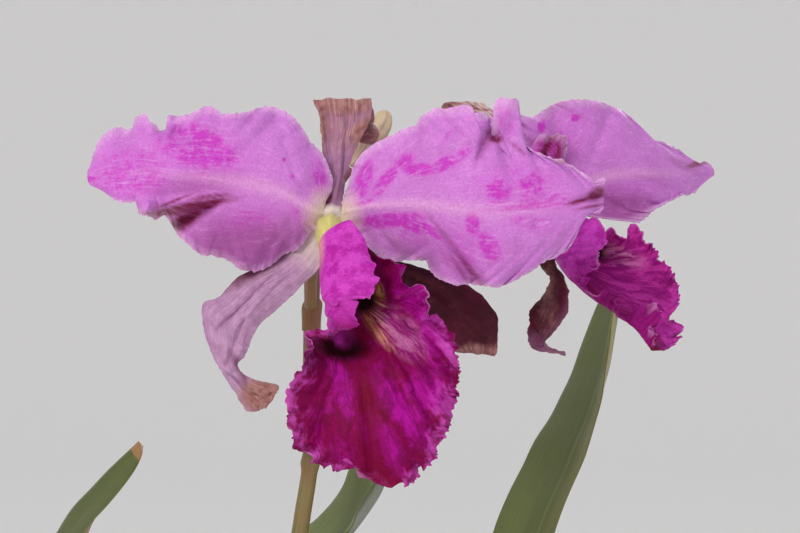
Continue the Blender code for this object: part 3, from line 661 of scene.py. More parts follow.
share, angle = girth_grid(*BULB_GRID)
for number, (name, (foot_spot, top, radius)) in enumerate(BULBS.items()):
    foot = np.array((*foot_spot, BULB_FOOT))
    crown = np.array(top, dtype=float)
    stations = [(*(foot + (0, 0, rise)), width) for rise, width in BULB_FOOT_STATIONS]
    stations += [(*(foot + (crown - foot) * rise), radius * width) for rise, width in BULB_BODY]
    stations += [(*(crown + (0, 0, rise)), width) for rise, width in BULB_NECK_STATIONS]
    table = along(stations, share)
    body = np.sin(np.pi * np.clip((share - 0.22) / 0.78, 0, 1)) ** 0.6
    wander = angle + 0.18 * ripple(share, 5, number + 40)
    waves = np.cos(FURROWS * wander + 0.8 * np.sin(2 * wander + number))
    furrow = np.clip(0.5 - 0.5 * waves, 0, 1) ** 2
    joint_mark = sum(np.exp(-((share - joint) / BULB_JOINT_SHARE) ** 2) for joint in BULB_JOINTS)
    radii = table[..., 3] - FURROW_DEPTH * body * furrow - BULB_JOINT_DEPTH * joint_mark
    radii = radii * np.sqrt(np.clip(1 - np.clip((share - 0.975) / 0.028, 0, 1) ** 2, 0.02, 1))
    round_piece(name + "_flesh", table, radii, bulb_skin, "bulb", name,
                paint={"ridge": (1 - furrow) * body, "joint": joint_mark})
    for layer, (start, end, opening) in enumerate(BULB_SHEATHS):
        rise, wrap = sheet_grid(*SHEATH_GRID)
        girth = (wrap + 1) / 2
        torn = ripples(girth, SHEATH_TEARS, number * 2 + layer)
        level = start + (end - start) * rise * (1 + torn * rise ** 2 - 0.25 * wrap ** 4)
        around = opening + number + (SHEATH_WRAP - SHEATH_OPENING * rise ** 2) * wrap
        spine = along(stations, level)
        stand_off = SHEATH_GAP + SHEATH_LAYER_GAP * layer + SHEATH_FLARE * rise ** 3
        stand_off = stand_off + SHEATH_WAVE * ripple(girth, 22, number + layer)
        sheath_radii = spine[..., 3] + stand_off
        lean = heading_along([station[:3] for station in stations], level)
        outward = np.stack([np.cos(around), np.sin(around), np.zeros_like(around)], axis=-1)
        outward = unit(outward - lean * np.sum(outward * lean, axis=-1, keepdims=True))
        places = spine[..., :3] + outward * sheath_radii[..., None]
        thin_piece(f"{name}_sheath_{layer + 1}", places[:, ::-1], SHEATH_THICKNESS, dry_sheath, "dry_sheath")

# The roots: thick aerial roots that ran over the bark, out across the rim and down the
# pot. Each is a wiry core in a spongy silver-white coat, with a smooth green growing tip.
ROOT_RADIUS = 1.8
ROOT_TIP = 9.0
ROOT_WANDER = 1.6
ROOT_SWELL = 0.07
# Height of the topmost chips that a root lies on
CHIPS_TOP = 103
ROOT_GRID = (160, 24)
# Direction round the pot in degrees, start beside the rhizome, and length hanging outside
ROOTS = {
    "root_1": (-118, (-30, 3.4), 52),
    "root_2": (-62, (12, 11.4), 38),
    "root_3": (-15, (46.5, 2.2), 66),
    "root_4": (160, (-48, 18), 45),
}

# Spongy root coat: a matt, silvery white felt of dead
# cells, greener where it is thin, bright green at the tip
root_coat, tree, shader = start_material("root_coat", {
    "Roughness": 0.75, "Sheen Weight": 0.2, "Sheen Roughness": 0.5})
felt = add(tree, "TexNoise", {"noise": (300.0, 6.0, 0.65)}, Vector="Object")
felts = add(tree, "ValToRGB", {"stops": ((0.3, "#857f68"), (0.5, "#b9b6a6"), (0.68, "#d6d3c6"))}, _0=felt)
tipped = lay_coats(tree, felts, ("tip", 1, "#7c9a3c"))
finish_material(tree, shader, tipped, felt, 0.97, 1.03, (0.5, 0.0005, felt))

share, angle = girth_grid(*ROOT_GRID)
root_clear = 0.3 + ROOT_RADIUS + 0.6
over_bark = CHIPS_TOP + root_clear
over_rim = POT_HEIGHT + root_clear
past_rim = POT_RIM_RADIUS + root_clear
for number, (name, (degrees, start, drop)) in enumerate(ROOTS.items()):
    outward = np.array((math.cos(math.radians(degrees)), math.sin(math.radians(degrees))))
    begin = np.array(start, dtype=float)
    halfway = begin + 0.45 * (outward * (POT_INSIDE_TOP - 10) - begin)
    route = (
        (*begin, over_bark + 1.2),
        (*halfway, over_bark + 1.6),
        (*(outward * (POT_INSIDE_TOP - 6.5)), over_rim - 4),
        (*(outward * (POT_INSIDE_TOP - 1)), over_rim + 0.2),
        (*(outward * (past_rim - 3)), over_rim + 0.2),
        (*(outward * (past_rim + 0.9)), over_rim - 4.5),
        (*(outward * (past_rim - 0.3)), over_rim - 14),
        (*(outward * (past_rim - 0.8)), over_rim - drop),
    )
    across = np.array((-outward[1], outward[0], 0.0))
    wander = ROOT_WANDER * ripple(share, 6, 70 + number) * np.sin(np.pi * share)
    line = along(route, share) + across * wander[..., None]
    swell = 1 + ROOT_SWELL * ripple(share, 30, 80 + number)
    steps = np.linalg.norm(np.diff(line, axis=0), axis=2)
    remaining = np.sum(steps) - np.concatenate([[[0]], np.cumsum(steps, axis=0)])
    taper = np.sqrt(np.clip(1 - np.clip((share - 0.93) / 0.07, 0, 1) ** 2.2, 0.004, 1))
    radii = ROOT_RADIUS * swell * taper * (1 + 0.03 * np.sin(3 * angle + number))
    round_piece(name + "_velamen", line, radii, root_coat, "root", name,
                paint={"tip": np.clip((ROOT_TIP - remaining) / 2.5, 0, 1)})

# The leaves: one stiff strap of leathery tissue on top of each bulb, folded
# into a keel at its foot and along its middle. The oldest edges have dried out.
# Places along the midrib, the way across at the foot and at the tip, and the greatest half width
LEAVES = {
    "leaf_1": (
        ((-33.5, 9, 245.7), (-33.3, 10, 252), (-27, 15, 259), (-16, 21, 268), (-5, 27, 287), (0, 36, 312),
         (2, 48, 338)),
        (0.3, -1, 0), (0.3, -1, 0), 20),
    "leaf_2": (
        ((31, 45, 200.7), (31, 45.5, 207), (37, 52, 234), (47, 62, 266), (57, 72, 288), (65.5, 82, 307),
         (71, 92, 328), (75, 101, 352)),
        (0.7, -0.7, 0), (0.2, -1, 0), 20),
    "leaf_3": (
        ((-58, -2, 185.9), (-58, -2.3, 191), (-67, -6, 196), (-88, -14, 208), (-110, -23, 234),
         (-114, -28, 254), (-106, -30, 271), (-95, -30, 285), (-81, -30, 298.5)),
        (0.3, 1, 0), (0.1, 1, 0.3), 21),
    "leaf_4": (
        ((5, 40, 205.9), (5, 40.5, 212), (0, 48, 221), (-10, 64, 236), (-28, 90, 249), (-48, 120, 250),
         (-62, 150, 238)),
        (0.8, 0.5, 0), (0.8, 0.5, 0), 23),
    "leaf_5": (
        ((72, 15, 175.9), (72.5, 14.5, 181.5), (80, 10, 190), (96, 1, 202), (124, -16, 220), (154, -34, 229),
         (180, -50, 224)),
        (0.5, 0.85, 0), (0.5, 0.85, 0), 23),
}
LEAF_ROWS = 130
LEAF_COLUMNS = 61
LEAF_RISE = math.radians(21)
LEAF_EDGE_THICKNESS = 1.1
LEAF_KEEL_THICKNESS = 2.4
LEAF_SWAY = 0.9
LEAF_WAVE = 0.35
# Width of a dead margin, how far it varies, and the share of the length at which the dead tip starts
DEAD_MARGIN = 4.2
DEAD_MARGIN_CHANGE = 1.4
DEAD_TIP = 0.965
# How dry each margin is, lower v first, and how yellow the blade is on that side
LEAF_WEAR = {
    "leaf_1": (0.0, 0.2, 0.1, 0.0),
    "leaf_2": (0.0, 0.0, 0.2, 0.75),
    "leaf_3": (0.1, 0.95, 0.1, 0.2),
    "leaf_4": (0.15, 0.0, 0.2, 0.1),
    "leaf_5": (0.1, 0.3, 0.0, 0.25),
}

# Leaf rind: thick waxed leather, dark olive green and half glossy above, paler and duller beneath, with fine
# lengthwise veins, one side yellower than the other, and tan dead margins
leaf_rind, tree, shader = start_material("leaf_rind", {
    "Roughness": 0.38, "IOR": 1.45, "Specular IOR Level": 0.32, "Subsurface Weight": 0.05,
    "Subsurface Radius": (0.5, 1.0, 0.2), "Subsurface Scale": 0.0015})
vein_chart = add(tree, "Mapping", {"Scale": (3.0, 44.0, 1.0)}, Vector="UV")
leaf_veins = add(tree, "TexNoise", {"noise": (1.0, 4.0, 0.6)}, Vector=vein_chart)
leaf_clouds = add(tree, "TexNoise", {"noise": (32.0, 6.0, 0.62)}, Vector="Object")
leaf_specks = add(tree, "TexVoronoi", {"Scale": 330.0, "Randomness": 1.0}, Vector="Object")
speck_share = add(tree, "MapRange", {"smooth": (0.13, 0.06, 0.4)}, Value=leaf_specks)
dry_sum = add(tree, "Math", {"operation": "MULTIPLY_ADD", 1: 0.5}, _0=leaf_clouds, _2="dry")
dry_share = add(tree, "MapRange", {"smooth": (0.62, 0.85, 1.0)}, Value=dry_sum)
leaf_greens = add(tree, "Mix", {"mix": ("#2f3b1a", "#53602c")}, _0=leaf_clouds)
blade_skin = lay_coats(tree, leaf_greens, ("yellow", 1, "#857b2f"), ("back", 0.5, "#74804e"),
                       ("keel", 0.55, "#7d8648"), (dry_share, 1, "#8d6a43"), (speck_share, 1, "#3a2b18"))
finish_material(tree, shader, blade_skin, leaf_veins, 0.88, 1.1, (0.22, 0.0005, leaf_veins),
                (0.25, 0.002, leaf_clouds))


def blade_grid(rows, columns):
    """Shares along a blade as a column, and across it from -1 to 1 as a row, closest at the margins."""
    return np.linspace(0, 1, rows)[:, None], np.sin(np.pi / 2 * np.linspace(-1, 1, columns))[None, :]


def blade_width(u):
    """Share of a leaf's greatest half width at u: a narrow base, a broad middle and a blunt tip."""
    widening = np.sin(np.pi / 2 * np.minimum(1.0, u / 0.45)) ** 2
    rounding = np.clip((u - 0.62) / 0.38, 0, 1)
    return (0.2 + 0.8 * widening) * np.sqrt(np.maximum(1 - rounding ** 2.3, 0.0009))


u, v = blade_grid(LEAF_ROWS, LEAF_COLUMNS)
u = np.sin(np.pi / 2 * u)
for number, (name, (midrib, base_across, tip_across, half_width)) in enumerate(LEAVES.items()):
    heading = heading_along(midrib, u)
    wanted = np.array(base_across) * (1 - u[..., None]) + np.array(tip_across) * u[..., None]
    side = unit(wanted - heading * np.sum(wanted * heading, axis=2, keepdims=True))
    width = half_width * blade_width(u)
    lift = (np.sqrt(v ** 2 + 0.004) - 0.063) * width * math.sin(LEAF_RISE)
    sway = LEAF_SWAY * ripple(u, 7, 100 + number) * v ** 3 + LEAF_WAVE * ripple(u, 16, 120 + number)
    lift = lift + sway * np.minimum(1, 3 * u) * np.minimum(1, 6 * (1 - u))
    places = along(midrib, u) + side * (v * width * math.cos(LEAF_RISE))[..., None]
    places = places + np.cross(side, heading) * lift[..., None]
    low_dry, high_dry, low_yellow, high_yellow = LEAF_WEAR[name]
    band = DEAD_MARGIN + DEAD_MARGIN_CHANGE * ripple(u, 14, 140 + number)
    wear = np.maximum(low_dry * np.clip((band - (1 + v) * width) / 1.2, 0, 1),
                      high_dry * np.clip((band - (1 - v) * width) / 1.2, 0, 1))
    wear = np.maximum(wear, 0.8 * np.clip((u - DEAD_TIP) / 0.02, 0, 1))
    sunny = np.where(v < 0, low_yellow, high_yellow) * np.minimum(1, 2 * np.abs(v))
    thickness = LEAF_EDGE_THICKNESS + (LEAF_KEEL_THICKNESS - LEAF_EDGE_THICKNESS) * np.exp(-(v / 0.35) ** 2)
    thickness = thickness * np.sqrt(np.clip(1 - v ** 8, 0.15, 1))
    thin_piece(name + "_blade", places, thickness, leaf_rind, "leaf", name,
               paint={"dry": wear, "yellow": sunny, "keel": np.exp(-(v / 0.05) ** 2)})

# The flower stalk: one stiff stem that rises from the newest bulb through a dry sheath, carries a
# withered bud at its end, and sends out two curved flower stems from joints with small papery scales.
# Stations of each stem and of the bud: x, y, z and radius
PEDUNCLE = (
    (-34.5, -3, 246, 2.6), (-33.6, -3, 258, 2.6), (-31, -2.8, 275, 2.6), (-28.4, -2.2, 294, 2.5),
    (-28.4, -1.5, 320, 2.5), (-28, -0.5, 345, 2.4), (-26.5, 1, 362, 2.2), (-22.5, 3, 376, 1.9),
    (-16, 4.5, 385.5, 1.5),
)
DRY_BUD = (
    (-15.75, 4.55, 385.9, 1.2), (-12, 5, 391, 2.6), (-8.5, 5, 396, 4.0), (-5.5, 5, 401, 3.4),
    (-4, 5, 404, 1.2),
)
OVARY_1 = (
    (-28.4, -5.2, 341.5, 2.0), (-28.2, -12, 350.5, 2.1), (-26.6, -20, 360, 2.4), (-23.4, -28, 366.6, 3.0),
    (-21.8, -33.35, 368.2, 3.2),
)
OVARY_2 = (
    (-25.1, 4.1, 358.5, 2.0), (-12, 19, 364.5, 2.1), (6, 41, 370.5, 2.3), (26, 55.5, 373.5, 2.6),
    (38, 52, 373.2, 3.0), (44.5, 44.48, 372.5, 3.2),
)
# Shares of the stalk's length at which its joints ring it
STALK_JOINTS = (0.36, 0.585, 0.76)
STALK_JOINT_SWELL = 0.55
STALK_JOINT_SHARE = 0.012
STALK_RIB_DEPTH = 0.08
STALK_GRID = (200, 32)
OVARY_RIB_DEPTH = 0.16
BUD_GRID = (120, 64)
BUD_LENGTH = 21.0
BUD_CREASE_DEPTH = 0.34
BUD_FOLD_DEPTH = 0.22
BUD_WRINKLE_DEPTH = 0.12
# Where each stalk scale starts, as a share of the stalk's length, and the way round that it faces
STALK_SCALES = ((0.36, 0.6), (0.565, -1.4), (0.74, 1.8))
SCALE_GRID = (36, 40)
SCALE_LENGTH = 0.055
SCALE_THICKNESS = 0.22
SPATHE_GRID = (60, 80)
SPATHE_THICKNESS = 0.3
SPATHE_HEIGHT = 22.0
SPATHE_RADIUS = 4.2
SPATHE_WAVE = 0.12
SPATHE_TEAR = 0.03
# How far round each side of the spathe reaches, and by how much less at its top
SPATHE_WRAP = math.radians(100)
SPATHE_OPENING = math.radians(50)

# Stalk skin: smooth and waxy, olive below and flushed
# brown-pink towards the flowers, with fine lengthwise lines
stalk_skin, tree, shader = start_material("stalk_skin", {
    "Roughness": 0.42, "IOR": 1.45, "Subsurface Weight": 0.08, "Subsurface Radius": (0.8, 0.8, 0.3),
    "Subsurface Scale": 0.001})
stalk_chart = add(tree, "Mapping", {"Scale": (4.0, 26.0, 1.0)}, Vector="UV")
stalk_lines = add(tree, "TexNoise", {"noise": (1.0, 4.0, 0.6)}, Vector=stalk_chart)
stalk_clouds = add(tree, "TexNoise", {"noise": (120.0, 5.0, 0.6)}, Vector="Object")
flush_mix = add(tree, "Mix", {"data_type": "FLOAT", 0: 0.62}, _2=stalk_clouds, _3="flush")
stalk_tones = add(tree, "ValToRGB", {"stops": ((0.22, "#636a34"), (0.52, "#8a5f40"), (0.8, "#8a5568"))},
                  _0=flush_mix)
finish_material(tree, shader, stalk_tones, stalk_lines, 0.8, 1.15, (0.3, 0.0004, stalk_lines))

share, angle = girth_grid(*STALK_GRID)
table = along(PEDUNCLE, share)
knuckles = sum(np.exp(-((share - joint) / STALK_JOINT_SHARE) ** 2) for joint in STALK_JOINTS)
radii = table[..., 3] + STALK_JOINT_SWELL * knuckles + STALK_RIB_DEPTH * np.sin(6 * angle)
round_piece("flower_stalk", table, radii, stalk_skin, "stalk", "peduncle", paint={"flush": 0.9 * share})
for name, stations in (("ovary_1", OVARY_1), ("ovary_2", OVARY_2)):
    table = along(stations, share)
    radii = table[..., 3] - OVARY_RIB_DEPTH * (1 + np.cos(6 * angle)) * (0.4 + 0.6 * share)
    round_piece(name + "_stem", table, radii, stalk_skin, "stalk", name, paint={"flush": 0.35 + 0.5 * share})

u, v = sheet_grid(*SPATHE_GRID)
spathe_foot = np.array(PEDUNCLE[0][:3])
spathe_lean = np.array(PEDUNCLE[2][:3]) - spathe_foot
spathe_angle = v * (SPATHE_WRAP - SPATHE_OPENING * u ** 3)
spathe_radius = SPATHE_RADIUS * (1 + 0.1 * u) + SPATHE_WAVE * ripple((v + 1) / 2, 14, 7)
spathe_torn = SPATHE_TEAR * ripple((v + 1) / 2, 30, 8) * u ** 3
spathe_height = SPATHE_HEIGHT * (u * (1 - 0.12 * v * v) + spathe_torn)
spathe_axis = spathe_foot + spathe_lean * (spathe_height / spathe_lean[2])[..., None]
spathe_out = np.stack([spathe_radius * np.sin(spathe_angle), -spathe_radius * np.cos(spathe_angle),
                       np.zeros_like(spathe_angle)], axis=-1)
thin_piece("spathe_paper", (spathe_axis + spathe_out)[:, ::-1], SPATHE_THICKNESS, dry_sheath, "dry_sheath",
           "spathe")

share, angle = girth_grid(*BUD_GRID)
table = along(DRY_BUD, share)
creases = np.cos(7 * angle + 1.6 * ripple(share, 5, 17))
folds = BUD_FOLD_DEPTH * np.cos(3 * angle + 3 * share)
wrinkles = BUD_CREASE_DEPTH * creases + folds + BUD_WRINKLE_DEPTH * ripple(share, 24, 18)
body = np.clip(np.sin(np.pi * share), 0, 1) ** 0.7
radii = np.maximum(table[..., 3] * rounded_ends(share, BUD_LENGTH, 1.6) + (wrinkles - 0.4) * body, 0.1)
round_piece("withered_bud", table, radii, dry_sheath, "dry_sheath", "dry_bud")

# Stalk scales: a thin brown pointed scale clasps the stem under each joint
for number, (place, turn) in enumerate(STALK_SCALES):
    u, v = sheet_grid(*SCALE_GRID)
    table = along(PEDUNCLE, place + SCALE_LENGTH * u)
    spread = v * 2.0 * np.sqrt(np.maximum(1 - u ** 1.6, 0.0005))
    reach = table[..., 3] + 0.45 + 0.9 * u ** 2
    around = turn + spread
    places = table[..., :3] + np.stack([reach * np.cos(around), reach * np.sin(around),
                                        np.zeros_like(around)], -1)
    thin_piece(f"stalk_scale_{number + 1}", places[:, ::-1], SCALE_THICKNESS, stalk_skin, "stalk",
               paint={"flush": 0.55})

# The columns: in the middle of each flower one thick fleshy rod carries both
# the pollen and the stigma. It is pale yellow-green, ribbed along its back,
# bends down over the lip, and ends in a small cream cap over the pollen.
# Centre and turn about the vertical of each flower
FLOWERS = {1: ((-21, -40, 370), 0.0), 2: ((48.5, 40, 374), math.radians(42))}
# Stations of each column and cap in its flower's own frame: x, y, z and radius
COLUMNS = {
    1: ((-0.8, 5.4, -3.2, 2.6), (-0.5, 1, -3.7, 3.8), (-1.1, -3, -5.4, 4.5), (0.6, -8.5, -10.8, 3.9),
        (4, -15, -17, 3.2)),
    2: ((0, 5.4, -1.6, 2.6), (0, 1, -2, 2.6), (0, -3, -4, 3.2), (0, -9, -9, 3.4), (0, -16, -15, 3.2)),
}
ANTHER_CAPS = {
    1: ((4.1, -15.3, -17.3, 3.0), (4.7, -16.7, -18.8, 3.2), (5.3, -18.2, -20.4, 1.6)),
    2: ((0, -16.3, -15.3, 3.0), (0, -18, -16.8, 3.2), (0, -19.6, -18.2, 1.6)),
}
COLUMN_GRID = (90, 48)
COLUMN_RIB_DEPTH = 0.16
CAP_LENGTH = 5.5
CAP_CLEFT = 0.22

# Column flesh: firm, waxy and a little clear, yellow-green clouded with cream
column_flesh, tree, shader = start_material("column_flesh", {
    "Roughness": 0.4, "IOR": 1.4, "Subsurface Weight": 0.3, "Subsurface Radius": (1.0, 0.9, 0.4),
    "Subsurface Scale": 0.0015})
flesh_chart = add(tree, "Mapping", {"Scale": (3.0, 18.0, 1.0)}, Vector="UV")
flesh_lines = add(tree, "TexNoise", {"Scale": 1.0, "Detail": 3.0}, Vector=flesh_chart)
flesh_clouds = add(tree, "TexNoise", {"Scale": 220.0, "Detail": 4.0}, Vector="Object")
flesh = add(tree, "Mix", {"mix": ("#b4b252", "#d2c98a")}, _0=flesh_clouds)
finish_material(tree, shader, flesh, flesh_lines, 0.85, 1.12, (0.3, 0.0004, flesh_lines))

# Anther cap: smooth cream wax with a faint pink flush
cap_wax, tree, shader = start_material("anther_cap_wax", {
    "Roughness": 0.35, "Subsurface Weight": 0.3, "Subsurface Radius": (1.0, 0.8, 0.6),
    "Subsurface Scale": 0.001})
wax_clouds = add(tree, "TexNoise", {"Scale": 350.0, "Detail": 4.0}, Vector="Object")
wax = add(tree, "Mix", {"mix": ("#d3b9b4", "#ddd3c0")}, _0=wax_clouds)
finish_material(tree, shader, wax, wax_clouds, 0.98, 1.02, (0.2, 0.0003, wax_clouds))


def turn_flower(places, flower):
    """Places in a flower's own frame, turned as the flower is; x is then to the viewer's right and y away."""
    turn = FLOWERS[flower][1]
    cosine, sine = math.cos(turn), math.sin(turn)
    return np.stack([places[..., 0] * cosine - places[..., 1] * sine,
                     places[..., 0] * sine + places[..., 1] * cosine, places[..., 2]], axis=-1)


def flower_centre(flower):
    """Where a flower's own frame has its origin, in millimetres."""
    return np.array(FLOWERS[flower][0], dtype=float)


share, angle = girth_grid(*COLUMN_GRID)
for flower in FLOWERS:
    table = along(COLUMNS[flower], share)
    middle = np.sin(np.pi * share)
    ribs = COLUMN_RIB_DEPTH * np.cos(7 * angle) * middle
    radii = table[..., 3] * (1 + 0.1 * np.cos(2 * angle) * middle) + ribs
    round_piece(f"column_{flower}_rod", turn_flower(table, flower) + flower_centre(flower), radii,
                column_flesh, "column", f"column_{flower}")
    table = along(ANTHER_CAPS[flower], share)
    cleft = 1 - CAP_CLEFT * np.exp(-((angle - math.pi / 2) / 0.35) ** 2)
    radii = table[..., 3] * rounded_ends(share, CAP_LENGTH, 1.6) * cleft
    round_piece(f"anther_cap_{flower}_wax", turn_flower(table, flower) + flower_centre(flower), radii,
                cap_wax, "anther_cap", f"anther_cap_{flower}")

# The sepals: three narrow blades behind the petals. The first flower is past its best, so they are drying:
# the upper one is brown and bent over at its top, and the side ones hang, twist and curl at their tips.
SEPAL_ROWS = 200
SEPAL_COLUMNS = 70
SEPAL_EDGE_THICKNESS = 0.45
SEPAL_RIB_THICKNESS = 1.0
SEPAL_KEEL = 2.0
CRUMPLE_PITCH = 0.42
CRUMPLE_DEPTH = 2.0
# Depth in millimetres, knots and step of the seed: flutes
# along the blade, and waves and nibbles of its margins
SEPAL_FLUTES = ((0.28, 9, 4), (0.1, 24, 5))
SEPAL_WAVES = ((0.7, 18, 0), (0.25, 60, 7))
SEPAL_NIBBLES = ((0.35, 26, 11), (0.15, 90, 13))

# Ageing sepal tissue: duller and more leathery than a petal, mauve with close purple and whitish veins
# that run its length, and papery brown where it has dried. Deep crimson painted shade, with a little crimson
# of its own, lies where a petal or the lip shades it and in its creases, and near-black painted shadow lies
# where the shade is deepest
sepal_tissue, tree, shader = start_material("sepal_tissue", {
    "Roughness": 0.55, "IOR": 1.4, "Specular IOR Level": 0.2, "Subsurface Weight": 0.12,
    "Subsurface Radius": (1.0, 0.35, 0.5), "Subsurface Scale": 0.001, "Sheen Weight": 0.05,
    "Sheen Roughness": 0.4})
grain_chart = add(tree, "Mapping", {"Scale": (3.0, 74.0, 1.0)}, Vector="UV")
veins = add(tree, "TexNoise", {"noise": (1.0, 5.0, 0.68, 0.25)}, Vector=grain_chart)
pale_chart = add(tree, "Mapping", {"Location": (7.0, 3.0, 0.0), "Scale": (2.4, 84.0, 1.0)}, Vector="UV")
pale_veins = add(tree, "TexNoise", {"noise": (1.0, 5.0, 0.68)}, Vector=pale_chart)
mottle = add(tree, "TexNoise", {"noise": (320.0, 6.0, 0.7)}, Vector="Object")
vein_lines = add(tree, "MapRange", {"smooth": (0.48, 0.68, 0.5)}, Value=veins)
pale_lines = add(tree, "MapRange", {"smooth": (0.46, 0.7, 0.6)}, Value=pale_veins)
dry_edge = add(tree, "Math", {"operation": "MULTIPLY_ADD", 1: 0.8}, _0=mottle, _2="dry")
dry_share = add(tree, "MapRange", {"smooth": (0.4, 1.3, 1.0)}, Value=dry_edge)
browns = add(tree, "Mix", {"mix": ("#97635f", "#5c2a2e")}, _0=vein_lines)
papery = lay_coats(tree, browns, (pale_lines, 1.3, "#cdb0ac"))
fresh = add(tree, "Mix", {"mix": ("#a0709c", "#bc96ba")}, _0=mottle)
# painted shade: the crimson and near-black shadow coats darken the sepal where it lies in shade
aged = lay_coats(tree, fresh, ("purple", 1, "#85315f"), (pale_lines, 1, "#cdb2cb"),
                 (vein_lines, 1, "#7c3a6a"), ("crimson", 1, "#561029"), ("shadow", 1, "#2e0714"),
                 (dry_share, 1, papery), ("heart", 1, "#d2c3bb"))
finish_material(tree, shader, aged, mottle, 0.8, 1.16, (0.5, 0.0004, veins), (0.3, 0.0003, mottle))


def bell(share, middle, reach):
    """A smooth hump that is 1 at the middle and 0 beyond the reach."""
    return np.cos(np.pi / 2 * np.clip((share - middle) / reach, -1, 1)) ** 2


def patches(places, spots):
    """How strongly soft ovals paint each place: x, z, half length, half width, slant, strength."""
    painted = np.zeros(places.shape[:2])
    for x, z, long, short, slant, strength in spots:
        angle = math.radians(slant)
        right, up = places[..., 0] - x, places[..., 2] - z
        far = np.hypot((right * math.cos(angle) + up * math.sin(angle)) / long,
                       (up * math.cos(angle) - right * math.sin(angle)) / short)
        painted = np.maximum(painted, strength * np.clip(1.6 - far, 0, 1))
    return painted


def crease(places, creases):
    """Press creases into places, and give how deep each place lies in one.

    A crease runs from its shallow end x, z to its open end x, z, with a half width there and a depth away
    from the viewer; a ridge has a depth below zero.
    """
    lying = np.zeros(places.shape[:2])
    for start_x, start_z, end_x, end_z, breadth, depth in creases:
        run = np.array((end_x - start_x, end_z - start_z), dtype=float)
        offset = places[..., (0, 2)] - (start_x, start_z)
        share = np.clip(offset @ run / (run @ run), 0, 1)
        far = np.linalg.norm(offset - share[..., None] * run, axis=-1)
        pressed = np.sin(np.pi / 2 * share) * np.exp(-(far / (breadth * (0.3 + 0.7 * share))) ** 2)
        places[..., 1] += depth * pressed
        lying = np.maximum(lying, np.clip((depth - 2.6) / 4, 0, 1) * pressed)
    return lying


def make_sepal(flower, side, edges, folds, dry_spots, crimson_and_shade_spots, purple, heart_reach, roll, seed):
    """A sepal between two edges, with its midrib towards the viewer by the keel, and by the roll at its tip.

    A crimson spot paints deep crimson, mostly painted shade, and one stronger than 1 paints near-black
    painted shadow in its middle. The creases are painted with crimson shade too.
    """
    u, v = blade_grid(SEPAL_ROWS, SEPAL_COLUMNS)
    table = along(edges, u)
    first, second = table[:, :, 0], table[:, :, 1]
    places = (first + second) / 2 + v[..., None] * (first - second) / 2
    places[..., 1] -= (SEPAL_KEEL * np.minimum(1, 4 * u) + roll * bell(u, 1, 0.2)) * (1 - v ** 2)
    places[..., 1] += ripples((v + 1) / 2, SEPAL_FLUTES, seed) * np.minimum(1, 3 * u)
    places[..., 2] += 0.4 * ripple((v + 1) / 2, 8, seed + 6) * np.minimum(1, 3 * u)
    for sign in (1, -1):
        inner = np.clip(sign * v, 0, 1)
        places[..., 1] += ripples(u, SEPAL_WAVES, seed + sign) * np.minimum(1, 8 * u) * inner ** 3
        nibble = ripples(u, SEPAL_NIBBLES, seed + sign) * np.minimum(1, 6 * u) * inner ** 8
        places += sign * unit(first - second) * nibble[..., None]
    places = turn_flower(places, flower)
    lying = crease(places, folds)
    dry = patches(places, dry_spots)
    crumple = np.array([noise.noise(Vector(place) * CRUMPLE_PITCH) for place in places.reshape(-1, 3)])
    places[..., 1] += CRUMPLE_DEPTH * dry * crumple.reshape(dry.shape)
    from_centre = np.linalg.norm(places, axis=2)
    # painted shade: crimson from the spots and the creases, near-black shadow where it passes 1
    crimson = patches(places, crimson_and_shade_spots) + 0.7 * lying
    paint = {
        "dry": dry,
        "crimson": np.clip(crimson, 0, 1),
        "shadow": np.clip(crimson - 1, 0, 1),
        "heart": np.clip((heart_reach - from_centre) / (0.5 * heart_reach), 0, 1),
        "purple": purple,
    }
    rib_share = np.exp(-(v / 0.15) ** 2) * (1 - u)
    thickness = SEPAL_EDGE_THICKNESS + (SEPAL_RIB_THICKNESS - SEPAL_EDGE_THICKNESS) * rib_share
    node = f"{side}_sepal_{flower}"
    thin_piece(node + "_tissue", places + flower_centre(flower), thickness, sepal_tissue, "sepal", node,
               paint=paint)


# Stations of each sepal from the heart to the tip, with a place on either edge in the flower's own frame
DORSAL_SEPAL_1 = (
    ((-3.3, 1.2, -0.8), (2.6, 1.2, -0.8)),
    ((-3.3, 1.2, 1.6), (2.6, 1.2, 1.4)),
    ((-3.2, 3.6, 3.6), (2.8, 3.6, 3.4)),
    ((-1.6, 6.4, 6.2), (3.1, 6.4, 5.6)),
    ((0.1, 8.5, 10.7), (3.7, 8.5, 11.3)),
    ((-1.4, 11, 15.4), (5.2, 11, 15.9)),
    ((-3.1, 13.5, 20.6), (7.2, 13.5, 21)),
    ((-3.8, 15.5, 25.8), (9.9, 15.5, 26)),
    ((-4.4, 18, 30.6), (11.5, 18, 30.4)),
    ((-5.8, 20, 35.6), (12, 20, 35.2)),
    ((-5.8, 22.5, 36.6), (11.9, 22.5, 36.6)),
    ((-4.5, 26, 34.5), (12.4, 26, 34)),
    ((0, 28, 29.5), (12.6, 28.5, 30)),
    ((6, 27, 25.5), (12.6, 27, 28)),
    ((8, 25, 24.4), (12.4, 25, 26.8)),
)
make_sepal(
    1, "dorsal", DORSAL_SEPAL_1,
    folds=((3, 10, 4.5, 33, 1.2, 1.6), (-1, 12, -3, 33, 1.0, 1.2)),
    dry_spots=((3, 36, 13, 5, 0, 0.8), (-4, 27, 12, 2.6, 84, 0.8), (11, 26, 7, 5, 40, 0.8),
               (-4, 34, 4, 4, 0, 0.8), (2, 29, 9, 9, 0, 0.45)),
    # the crimson spot at the base is painted shade between the left petal and the sepal
    crimson_and_shade_spots=((-2.2, 4.6, 2.6, 1.6, 60, 1.4), (-5.2, 36, 1.6, 2.2, 0, 0.8), (2, 8, 7, 2.4, 90, 0.3)),
    purple=0.35, heart_reach=4.6, roll=2.5, seed=31)

